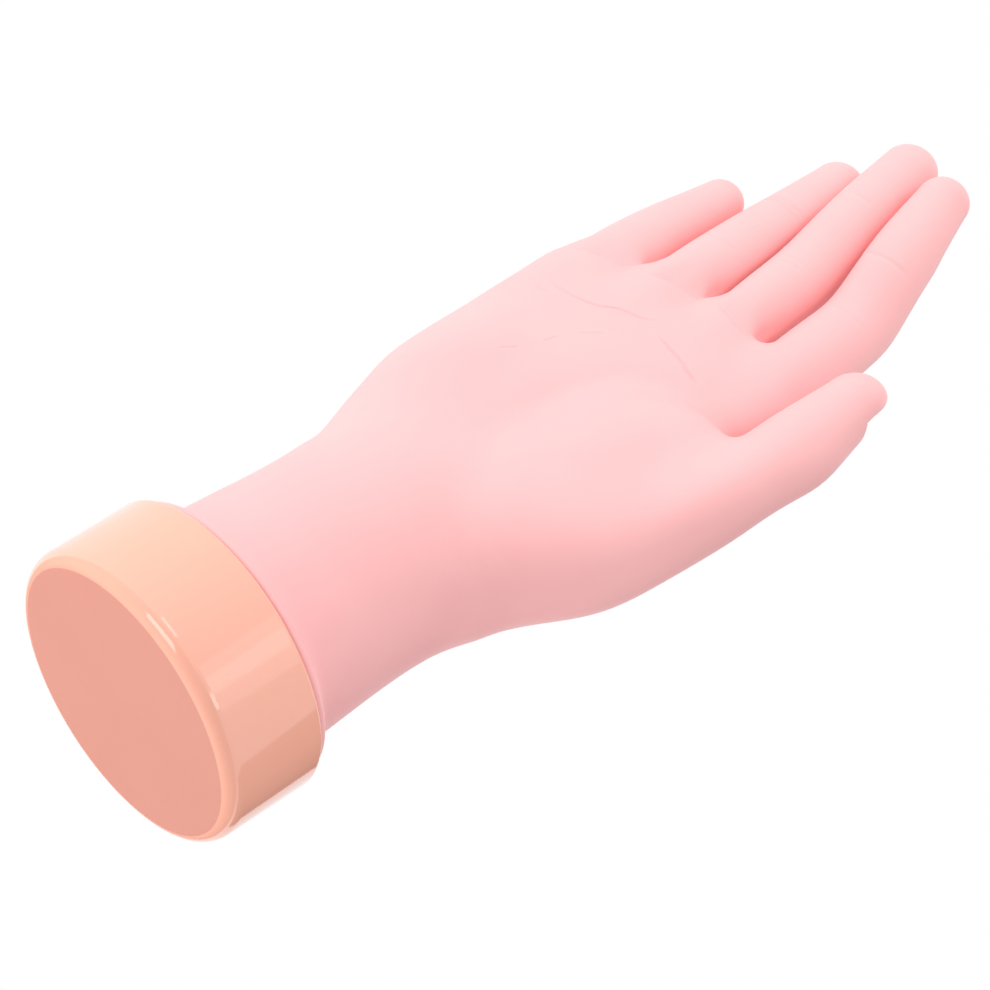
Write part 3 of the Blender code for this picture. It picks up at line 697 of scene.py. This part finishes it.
def nailEdge(points):  # true close to the rim of a nail bed
    near = np.zeros(len(points), bool)
    look = edgeLook
    widest = math.radians(nailLook["halfAngle"])
    for digit in digits.values():
        some = digit.inRoom(points)
        s, across, pad, past = digit.place(points[some])
        side, _, back = digit.half(s)
        angle = np.arctan2(np.abs(across) / side, -pad / back)
        along = s + np.maximum(past, 0) - digit.fold
        onSide = (np.abs(widest - angle) * np.hypot(across, pad) < look["side"]) & (along > -look["before"])
        atFold = np.abs(along - nailLook["foldCurve"] * 0.5) < look["fold"]
        atFold &= angle < widest + look["foldAngle"]
        atTip = past > digit.reach() - look["tip"]
        onBack = (pad < look["padSide"]) & (s > digit.fold - nailLook["before"])
        onSkin = digitValue(digit, points[some]) < look["skin"]
        near[some] |= onBack & onSkin & (onSide | atFold | atTip)
    return near


def refine(bm, least, withNails):  # halves the faces near folds and nail beds
    points, facing, _, corners, starts = readSkin(bm)
    chosen = np.abs(foldHeight(points, facing)) > least
    if withNails:
        chosen |= nailEdge(points) | rootDip(points)[1]
    hit = np.add.reduceat(chosen[corners].astype(int), starts) > 0
    bm.faces.ensure_lookup_table()
    edges = set()
    for i in np.nonzero(hit)[0]:
        edges.update(bm.faces[i].edges)
    bmesh.ops.subdivide_edges(bm, edges=list(edges), cuts=1, use_grid_fill=True)
    bm.verts.ensure_lookup_table()
    points = readSkin(bm)[0]
    moved = settle(points)
    stray = np.linalg.norm(moved - points, axis=1) > meshLook["stray"]
    moved[stray] = points[stray]
    for v, place in zip(bm.verts, moved):
        v.co = place


def beyond(points, seam):
    return (points - seam[0]) @ seam[1]


def digitOf(points):  # the digit that each point of the skin belongs to, or -1 for the palm
    raw = np.stack([digitValue(digits[name], points) for name in fingerNames], 1)
    owner = np.where(raw.min(1) < meshLook["ownReach"], raw.argmin(1), -1)
    rest = np.minimum(restValue(points), raw.min(1))
    owner[digitValue(digits["thumb"], points) < rest] = len(fingerNames)
    return owner


bm = bmesh.new()
raw = bpy.data.meshes.new("handSkin")
raw.from_pydata(points.tolist(), [], quads.tolist())
bm.from_mesh(raw)
bmesh.ops.recalc_face_normals(bm, faces=bm.faces)
for least, withNails in meshLook["fine"]:
    refine(bm, least, withNails)
print("skin refined:", len(bm.faces), "faces")
wrist = [f for f in bm.faces if f.calc_center_median().z < meshLook["wristCut"] + 2]
cutSkin(bm, (0, 0, meshLook["wristCut"]), (0, 0, 1), wrist, clearLower=True)
addCollar(bm, collarLook, meshLook["wristCut"])

# Seams between the skin's pieces: one plane for each, through the digit's line
seams = {}
for name, digit in digits.items():
    for i, s in enumerate(digit.look["seams"]):
        ways = digit.look.get("seamWays")
        way = np.array(ways[i]) / np.linalg.norm(ways[i]) if ways else digit.wayAt(s)
        seams[name, i] = (digit.at(s), way)
digitNames = [*fingerNames, "thumb"]
_, _, middles, _, _ = readSkin(bm)
owner = digitOf(middles)
bm.faces.ensure_lookup_table()
cuts = []
for (name, i), seam in seams.items():
    near = (owner == digitNames.index(name)) & (np.abs(beyond(middles, seam)) < meshLook["seamNear"])
    near &= np.linalg.norm(middles - seam[0], axis=1) < digits[name].look["round"] * meshLook["seamReach"]
    cuts.append((seam, [bm.faces[k] for k in np.nonzero(near)[0]]))
for seam, chosen in cuts:
    cutSkin(bm, seam[0], seam[1], chosen)

points, facing, middles, corners, starts = readSkin(bm)
onCollar = points[:, 2] < meshLook["wristCut"] + 1e-3
rise = np.where(onCollar, 0, relief(points, facing))
for v, place in zip(bm.verts, points + facing * rise[:, None]):
    v.co = place
points, facing, middles, corners, starts = readSkin(bm)
owner = digitOf(middles)
print("skin cut and folded:", len(points), "points")

# One piece for the wrist and palm, and one for each knuckle of each digit
pieceOf = np.zeros(len(middles), int)
pieceNames = ["palmSkin"]
lengthNames = {3: ("lower", "middle", "tip"), 2: ("lower", "tip")}
jointNames = {3: ("root", "middle", "tip"), 2: ("root", "tip")}
skinPieces = []
for name, digit in digits.items():
    count = len(digit.look["seams"])
    mine = owner == digitNames.index(name)
    mine &= np.linalg.norm(middles - seams[name, 0][0], axis=1) < digit.end
    for i in range(count):
        past = mine & (beyond(middles, seams[name, i]) > 0)
        pieceOf[past] = len(pieceNames)
        skinPieces.append((name, i, len(pieceNames)))
        pieceNames.append(f"{name}{lengthNames[count][i].capitalize()}Skin")


def takePiece(name, chosen, material):  # a mesh of the chosen faces, with the whole skin's normals
    faces = np.nonzero(chosen)[0]
    ends = np.append(starts[1:], len(corners))
    lists = [corners[starts[f]:ends[f]] for f in faces]
    used = np.unique(np.concatenate(lists))
    place = np.full(len(points), -1)
    place[used] = np.arange(len(used))
    mesh = bpy.data.meshes.new(name)
    mesh.from_pydata((points[used] * mm).tolist(), [], [place[l].tolist() for l in lists])
    mesh.shade_smooth()
    mesh.normals_split_custom_set_from_vertices(facing[used].tolist())
    rest = mesh.attributes.new("restPlace", "FLOAT_VECTOR", "POINT")
    rest.data.foreach_set("vector", (points[used] * mm).ravel())
    mesh.materials.append(material)
    return addObject(name, mesh)


# Finishes. Each group gives a colour, a mask or a height that changes over the surface
def newGroup(name, inputs, outputs):
    tree = bpy.data.node_groups.new(name, "ShaderNodeTree")
    for label, kind, default in inputs:
        socket = tree.interface.new_socket(name=label, in_out="INPUT", socket_type=kind)
        if default is not None:
            socket.default_value = default
    for label, kind in outputs:
        tree.interface.new_socket(name=label, in_out="OUTPUT", socket_type=kind)
    return tree, tree.nodes.new("NodeGroupInput"), tree.nodes.new("NodeGroupOutput")


def addNode(tree, kind, settings=(), **values):
    node = tree.nodes.new(kind)
    for key, value in dict(settings).items():
        setattr(node, key, value)
    for key, value in values.items():
        node.inputs[key.replace("_", " ")].default_value = value
    return node


def join(tree, *pairs):  # each pair is an output and the input that it goes to
    for a, b in pairs:
        tree.links.new(a, b)


def feed(tree, socket, value):  # a plain value, or another node's output
    if isinstance(value, (int, float, tuple)):
        socket.default_value = value
    else:
        tree.links.new(value, socket)


def noiseNode(tree, vector, scale, detail=3.0, roughness=0.55):
    node = addNode(tree, "ShaderNodeTexNoise", Detail=detail, Roughness=roughness)
    feed(tree, node.inputs["Vector"], vector)
    feed(tree, node.inputs["Scale"], scale)
    return node


def mixColour(tree, share, a, b):
    node = addNode(tree, "ShaderNodeMix", {"data_type": "RGBA"})
    for i, value in ((0, share), (6, a), (7, b)):  # the colour sockets are 6 and 7
        feed(tree, node.inputs[i], value)
    return node.outputs[2]


def mathNode(tree, operation, a, b):
    node = addNode(tree, "ShaderNodeMath", {"operation": operation})
    feed(tree, node.inputs[0], a)
    feed(tree, node.inputs[1], b)
    return node.outputs[0]


def mixShaders(tree, share, first, second, out):
    mix = tree.nodes.new("ShaderNodeMixShader")
    join(tree, (share, mix.inputs["Fac"]), (first.outputs[0], mix.inputs[1]),
         (second.outputs[0], mix.inputs[2]), (mix.outputs["Shader"], out.inputs["Surface"]))


def newMaterial(name):
    material = bpy.data.materials.new(name)
    material.use_nodes = True
    return material, material.node_tree, material.node_tree.nodes["Principled BSDF"]


def rangeNode(tree, value, low, high, newLow, newHigh):
    node = addNode(tree, "ShaderNodeMapRange", {"interpolation_type": "SMOOTHSTEP"})
    feed(tree, node.inputs["Value"], value)
    for key, number in (("From Min", low), ("From Max", high), ("To Min", newLow), ("To Max", newHigh)):
        node.inputs[key].default_value = number
    return node.outputs["Result"]


def makeToneGroup():  # a base colour that drifts softly between two tones
    tree, given, out = newGroup("softTone", [
        ("Place", "NodeSocketVector", None),
        ("Base", "NodeSocketColor", (1, 1, 1, 1)),
        ("Tint", "NodeSocketColor", (1, 1, 1, 1)),
        ("Scale", "NodeSocketFloat", 20.0),
        ("Amount", "NodeSocketFloat", 0.5),
    ], [("Colour", "NodeSocketColor"), ("Mask", "NodeSocketFloat")])
    broad = noiseNode(tree, given.outputs["Place"], given.outputs["Scale"], 2.0)
    fineScale = mathNode(tree, "MULTIPLY", given.outputs["Scale"], 9.0)
    fine = noiseNode(tree, given.outputs["Place"], fineScale, 4.0)
    mask = mathNode(tree, "ADD", mathNode(tree, "MULTIPLY", broad.outputs["Fac"], 0.75),
                    mathNode(tree, "MULTIPLY", fine.outputs["Fac"], 0.25))
    mask = rangeNode(tree, mask, 0.35, 0.65, 0.0, 1.0)
    share = mathNode(tree, "MULTIPLY", mask, given.outputs["Amount"])
    colour = mixColour(tree, share, given.outputs["Base"], given.outputs["Tint"])
    join(tree, (colour, out.inputs["Colour"]), (mask, out.inputs["Mask"]))
    return tree


def makeGrainGroup():  # a fine moulded grain: height and roughness
    tree, given, out = newGroup("mouldGrain", [
        ("Place", "NodeSocketVector", None),
        ("Fine Scale", "NodeSocketFloat", 900.0),
        ("Broad Scale", "NodeSocketFloat", 60.0),
        ("Broad Share", "NodeSocketFloat", 0.4),
        ("Roughness", "NodeSocketFloat", 0.4),
        ("Spread", "NodeSocketFloat", 0.1),
    ], [("Height", "NodeSocketFloat"), ("Roughness", "NodeSocketFloat")])
    fine = noiseNode(tree, given.outputs["Place"], given.outputs["Fine Scale"], 5.0, 0.6)
    broad = noiseNode(tree, given.outputs["Place"], given.outputs["Broad Scale"], 2.0)
    heavy = mathNode(tree, "MULTIPLY", broad.outputs["Fac"], given.outputs["Broad Share"])
    height = mathNode(tree, "ADD", fine.outputs["Fac"], heavy)
    drift = mathNode(tree, "MULTIPLY", mathNode(tree, "SUBTRACT", broad.outputs["Fac"], 0.5),
                     given.outputs["Spread"])
    roughness = mathNode(tree, "ADD", given.outputs["Roughness"], drift)
    join(tree, (height, out.inputs["Height"]), (roughness, out.inputs["Roughness"]))
    return tree


toneGroup, grainGroup = makeToneGroup(), makeGrainGroup()


def useGroup(tree, group, place, values):
    node = tree.nodes.new("ShaderNodeGroup")
    node.node_tree = group
    tree.links.new(place, node.inputs["Place"])
    for key, value in values.items():
        node.inputs[key].default_value = value
    return node


def makeFinish(name, look, restPlace=False):
    material, tree, shader = newMaterial(name)
    if restPlace:
        place = addNode(tree, "ShaderNodeAttribute", {"attribute_name": "restPlace"}).outputs["Vector"]
    else:
        place = addNode(tree, "ShaderNodeTexCoord").outputs["Object"]
    tone = useGroup(tree, toneGroup, place, {
        "Base": (*look["base"], 1), "Tint": (*look["tint"], 1), "Scale": look["toneScale"],
        "Amount": look["toneAmount"],
    })
    grain = useGroup(tree, grainGroup, place, {
        "Fine Scale": look["grainScale"], "Broad Scale": look["broadScale"],
        "Broad Share": look["broadShare"], "Roughness": look["roughness"], "Spread": look["spread"],
    })
    bump = addNode(tree, "ShaderNodeBump", Strength=look["bump"], Distance=look["bumpDepth"])
    join(tree, (tone.outputs["Colour"], shader.inputs["Base Color"]),
         (grain.outputs["Roughness"], shader.inputs["Roughness"]),
         (grain.outputs["Height"], bump.inputs["Height"]), (bump.outputs["Normal"], shader.inputs["Normal"]))
    for socket, value in look.get("shader", {}).items():
        shader.inputs[socket].default_value = value
    return material


plainPlastic = {
    "toneScale": 30.0, "toneAmount": 0.6, "grainScale": 900.0, "broadScale": 60.0, "broadShare": 0.5,
    "roughness": 0.45, "spread": 0.1, "bump": 0.1, "bumpDepth": 0.0002,
}
plainMetal = {
    "toneScale": 80.0, "toneAmount": 0.5, "grainScale": 2500.0, "broadScale": 200.0, "broadShare": 0.4,
    "roughness": 0.35, "spread": 0.15, "bump": 0.1, "bumpDepth": 0.0001, "shader": {"Metallic": 1.0},
}
finishes = {
    "soft_skin": {
        "base": (0.972, 0.478, 0.481), "tint": (0.978, 0.508, 0.505), "toneScale": 26.0, "toneAmount": 0.6,
        "grainScale": 1500.0, "broadScale": 90.0, "broadShare": 0.6, "roughness": 0.46, "spread": 0.12,
        "bump": 0.12, "bumpDepth": 0.0002,
        "shader": {"Specular IOR Level": 0.35, "Sheen Weight": 0.0},
    },
    "cap_gloss": {
        "base": (0.960, 0.450, 0.335), "tint": (0.970, 0.475, 0.360), "toneScale": 18.0, "toneAmount": 0.5,
        "grainScale": 700.0, "broadScale": 45.0, "broadShare": 1.2, "roughness": 0.09, "spread": 0.05,
        "bump": 0.03, "bumpDepth": 0.0002, "shader": {"Coat Weight": 0.3, "Coat Roughness": 0.04},
    },
    "cap_matte": {
        "base": (0.685, 0.292, 0.228), "tint": (0.710, 0.308, 0.242), "toneScale": 22.0, "toneAmount": 0.5,
        "grainScale": 1800.0, "broadScale": 60.0, "broadShare": 0.5, "roughness": 0.55, "spread": 0.1,
        "bump": 0.15, "bumpDepth": 0.0001,
    },
    "plug_plastic": {**plainPlastic, "base": (0.800, 0.800, 0.780), "tint": (0.740, 0.740, 0.720)},
    "frame_plastic": {**plainPlastic, "base": (0.740, 0.740, 0.720), "tint": (0.680, 0.680, 0.660),
                      "roughness": 0.5},
    "wire_metal": {**plainMetal, "base": (0.780, 0.790, 0.800), "tint": (0.640, 0.650, 0.660)},
    "screw_steel": {**plainMetal, "base": (0.620, 0.620, 0.630), "tint": (0.520, 0.520, 0.530),
                    "roughness": 0.3},
}
materials = {name: makeFinish(name, look, name == "soft_skin") for name, look in finishes.items()}

# Inner pieces keep their CAD shape and take a finish of their own, by the first part of a name that fits
innerFinish = {
    "wrist_plug": "plug_plastic", "palm_frame": "frame_plastic", "wire_clamp": "frame_plastic",
    "screw": "screw_steel", "wire": "wire_metal",
}
for name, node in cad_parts.items():
    kinds = [kind for part, kind in innerFinish.items() if part in name]
    if kinds:
        node.data.materials.clear()
        node.data.materials.append(materials[kinds[0]])

# Skin pieces: the palm's on the root body, and each digit's in place of its CAD knuckle and skin, which are
# hidden
palm = takePiece("palmSkin", pieceOf == 0, materials["soft_skin"])
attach(palm, "root")
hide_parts("palm_skin")
for name, i, number in skinPieces:
    digit = digits[name]
    count = len(digit.look["seams"])
    lengths, joints = lengthNames[count], jointNames[count]
    piece = takePiece(pieceNames[number], pieceOf == number, materials["soft_skin"])
    low, high = digit.look["bands"][i]
    start, end = digit.at(low), digit.at(high)
    if name == "thumb" and i == 0:
        way = seams[name, 0][1]
        end = start + way * ((end - start) @ way)
    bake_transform(piece)
    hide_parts(f"{name}_{joints[i]}_knuckle", f"{name}_{lengths[i]}_skin")
print("skin pieces:", len(skinPieces) + 1)

# Base cap: a turned cup with a matte foot face, a tapered foot band and a thin rim
capLook = {
    "sides": 256,
    "radius": 34.2,
    "height": 24.5,
    "faceRadius": 31.4,
    "faceRise": 0.02,  # at the face's edge, which runs this far in: faceEdge
    "faceEdge": 0.4,
    "matteBelow": 0.05,
    "bandHeight": 3.7,
    "bandSteps": 18,
    "rimRound": 0.9,
    "innerRound": 0.54,
    "wall": 2.2,
    "ledgeDepth": 4.3,
    "ledgeWidth": 1.8,
    "floor": 3.0,
    "sharpAngle": 40.0,
}


def roundCorner(before, corner, after, radius, steps):  # points round a corner of an outline
    before, corner, after = (np.array(p, float) for p in (before, corner, after))
    a, b = (before - corner), (after - corner)
    a, b = a / np.linalg.norm(a), b / np.linalg.norm(b)
    half = math.acos(np.clip(a @ b, -1, 1)) / 2
    middle = corner + (a + b) / np.linalg.norm(a + b) * radius / math.sin(half)
    first = corner + a * radius / math.tan(half) - middle
    last = corner + b * radius / math.tan(half) - middle
    angle = math.acos(np.clip(first @ last / radius**2, -1, 1))
    return [tuple(middle + (first * math.sin((1 - t) * angle) + last * math.sin(t * angle)) / math.sin(angle))
            for t in np.linspace(0, 1, steps)]


def capProfile(look):
    r, h = look["radius"], look["height"]
    inner = r - look["wall"]
    ledge = h - look["ledgeDepth"]
    face, rise, band = look["faceRadius"], look["faceRise"], look["bandHeight"]
    outline = [(0, 0), (face * 0.5, 0), (face - look["faceEdge"], 0), (face, rise)]
    # a quarter of an ellipse, from the face to the wall
    for turn in np.linspace(0.12, 1, look["bandSteps"]) * math.pi / 2:
        outline.append((face + (r - face) * math.sin(turn), rise + (band - rise) * (1 - math.cos(turn))))
    outline += roundCorner((r, band), (r, h), (inner, h), look["rimRound"], 6)
    outline += roundCorner((r, h), (inner, h), (inner, ledge), look["innerRound"], 4)
    outline += [(inner, ledge), (inner - look["ledgeWidth"], ledge),
                (inner - look["ledgeWidth"], look["floor"]), (0, look["floor"])]
    return outline


def turnedCup(name, outline, look):
    bm = bmesh.new()
    sides = look["sides"]
    angles = np.linspace(0, 2 * math.pi, sides, endpoint=False)
    rings = []
    for radius, height in outline:
        if radius == 0:
            rings.append([bm.verts.new((0, 0, height * mm))])
        else:
            rings.append([bm.verts.new((radius * mm * math.cos(a), radius * mm * math.sin(a), height * mm))
                          for a in angles])
    for low, high in zip(rings, rings[1:]):
        for i in range(sides):
            j = (i + 1) % sides
            corners = [low[i % len(low)], low[j % len(low)], high[j % len(high)], high[i % len(high)]]
            face = bm.faces.new(list(dict.fromkeys(corners)))
            face.smooth = True
            face.material_index = 1 if max(c.co.z for c in corners) < look["matteBelow"] * mm else 0
    bmesh.ops.recalc_face_normals(bm, faces=bm.faces)
    mesh = meshFrom(name, bm)
    mesh.set_sharp_from_angle(angle=math.radians(look["sharpAngle"]))
    return addObject(name, mesh)


cap = turnedCup("baseCap", capProfile(capLook), capLook)
for finish in ("cap_gloss", "cap_matte"):
    cap.data.materials.append(materials[finish])
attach(cap, "root")
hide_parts("base_cap")
print("cap turned")

# Floor: pale from above, with a painted glow that whitens its far part, and unseen from below, where the
# photo's camera is
floorLook = {
    "size": 30.0,
    "colour": (0.88, 0.88, 0.88),
    "roughness": 0.7,
    "below": 0.3,  # millimetres under the cap
    "farFrom": 0.4,  # metres from the object where the floor's painted glow starts, and where it is full; the glow stands in for light on the far floor
    "farTo": 2.5,
    "farGlowLevel": 0.36,
}


def makeFloor(look):
    bm = bmesh.new()
    bmesh.ops.create_grid(bm, x_segments=8, y_segments=8, size=look["size"] / 2)
    mesh = meshFrom("floor", bm)
    material, tree, shader = newMaterial("paleFloor")
    shader.inputs["Base Color"].default_value = (*look["colour"], 1)
    shader.inputs["Roughness"].default_value = look["roughness"]
    geometry = tree.nodes.new("ShaderNodeNewGeometry")
    away = addNode(tree, "ShaderNodeVectorMath", {"operation": "LENGTH"})
    feed(tree, away.inputs[0], geometry.outputs["Position"])
    far = rangeNode(tree, away.outputs["Value"], look["farFrom"], look["farTo"], 0.0, 1.0)
    # painted light: the floor glows more with distance from the object, paling the far floor towards white
    # where the lamps hardly reach
    glowColour = (*[look["farGlowLevel"]] * 3, 1)
    feed(tree, shader.inputs["Emission Color"], mixColour(tree, far, (0.0, 0.0, 0.0, 1), glowColour))
    shader.inputs["Emission Strength"].default_value = 1.0
    clear = tree.nodes.new("ShaderNodeBsdfTransparent")
    mixShaders(tree, geometry.outputs["Backfacing"], shader, clear, tree.nodes["Material Output"])
    mesh.materials.append(material)
    floor = addObject("floor", mesh)
    floor.location.z = -look["below"] * mm
    hideFrom(floor, "shadow", "diffuse", "glossy")


makeFloor(floorLook)

# Light: broad soft lamps that only light, small ones that only the glossy cap reflects, and dark cards
# for its darker reflections. azimuth and elevation are in degrees, seen from the cap
lightLook = {
    "target": (0.0, 0.0, 0.12),
    "ambient": 0.742,
    # by name: the way from the target, and the power; all as far off and as big as the first line says
    "lampSpan": {"distance": 1.1, "size": (0.9, 0.9)},
    "lamps": {
        "top": {"way": (0.246, -0.67, 0.701), "power": 4.75},
        "key": {"way": (-0.675, -0.67, -0.308), "power": 5.0},
        "low": {"way": (-0.514, -0.181, -0.838), "power": 4.0},
        "under": {"way": (0.028, 0.309, -0.951), "power": 3.0},
        "front": {"way": (-0.361, -0.873, 0.329), "power": 1.7},
        "side": {"way": (0.635, 0.512, -0.579), "power": 0.7},
        "back": {"way": (-0.35, 0.8, 0.9), "power": 2.5, "distance": 1.4, "size": (1.2, 1.2)},
    },
    "capLamps": {
        "band": {"azimuth": -29.0, "elevation": 27.0, "size": (0.46, 0.34), "power": 0.36},
        "bandCore": {"azimuth": -31.0, "elevation": 26.0, "size": (0.16, 0.36), "power": 0.16},
        "edgeRight": {"azimuth": -22.0, "elevation": 6.0, "size": (0.16, 0.22), "power": 0.4},
        "edgeLeft": {"azimuth": -78.0, "elevation": 9.0, "size": (0.22, 0.16), "power": 0.35},
        "footLeft": {"azimuth": -81.0, "elevation": -38.0, "distance": 0.35, "size": (0.16, 0.14),
                     "power": 0.3},
    },
    "capLampDistance": 0.8,
    "cards": {
        "darkCard": {"azimuth": 60.0, "elevation": 24.0, "distance": 0.6, "size": (0.6, 0.5)},
        "lowCard": {"azimuth": 0.0, "elevation": -90.0, "distance": 0.26, "size": (5.0, 5.0)},
    },
}
capMiddle = Vector((0, 0, 0.012))


def compass(azimuth, elevation):
    azimuth, elevation = math.radians(azimuth), math.radians(elevation)
    return Vector((math.cos(azimuth) * math.cos(elevation), math.sin(azimuth) * math.cos(elevation),
                   math.sin(elevation)))


def makeCard(name, look, material):
    bm = bmesh.new()
    wide, high = look["size"]
    corners = [(-wide / 2, -high / 2), (wide / 2, -high / 2), (wide / 2, high / 2), (-wide / 2, high / 2)]
    bm.faces.new([bm.verts.new((x, y, 0)) for x, y in corners])
    mesh = meshFrom(name, bm)
    mesh.materials.append(material)
    card = addObject(name, mesh)
    way = compass(look["azimuth"], look["elevation"])
    card.location = capMiddle + way * look["distance"]
    card.rotation_euler = way.to_track_quat("Z", "Y").to_euler()
    hideFrom(card, "camera", "diffuse", "shadow", "transmission", "volume_scatter")


def addLamp(name, look, place, way, unseenBy):
    data = bpy.data.lights.new(name, "AREA")
    data.shape = "RECTANGLE"
    data.size, data.size_y = look["size"]
    data.energy = look["power"]
    lamp = addObject(name, data)
    lamp.location = place
    lamp.rotation_euler = way.to_track_quat("Z", "Y").to_euler()
    hideFrom(lamp, unseenBy)


def setLights(look):
    target = Vector(look["target"])
    for name, given in look["lamps"].items():
        lamp = {**look["lampSpan"], **given}
        way = Vector(lamp["way"]).normalized()
        addLamp(name, lamp, target + way * lamp["distance"], way, "glossy")
    for name, lamp in look["capLamps"].items():
        way = compass(lamp["azimuth"], lamp["elevation"])
        distance = lamp.get("distance", look["capLampDistance"])
        addLamp(name, lamp, capMiddle + way * distance, way, "diffuse")
    black, _, shader = newMaterial("blackCard")
    shader.inputs["Base Color"].default_value = (0.02, 0.02, 0.02, 1)
    for name, card in look["cards"].items():
        makeCard(name, card, black)
    world = bpy.data.worlds.new("studio")
    scene.world = world
    world.use_nodes = True
    tree = world.node_tree
    tree.nodes.clear()
    seen = tree.nodes.new("ShaderNodeLightPath")
    shown = mathNode(tree, "MAXIMUM", mathNode(tree, "MAXIMUM", seen.outputs["Is Camera Ray"],
                     seen.outputs["Is Glossy Ray"]), seen.outputs["Is Transmission Ray"])
    soft = addNode(tree, "ShaderNodeBackground", Strength=look["ambient"])
    white = addNode(tree, "ShaderNodeBackground", Strength=1.0)
    soft.inputs["Color"].default_value = white.inputs["Color"].default_value = (1, 1, 1, 1)
    mixShaders(tree, shown, soft, white, tree.nodes.new("ShaderNodeOutputWorld"))


setLights(lightLook)
scene.view_settings.view_transform = "Standard"
print("lights and floor set")
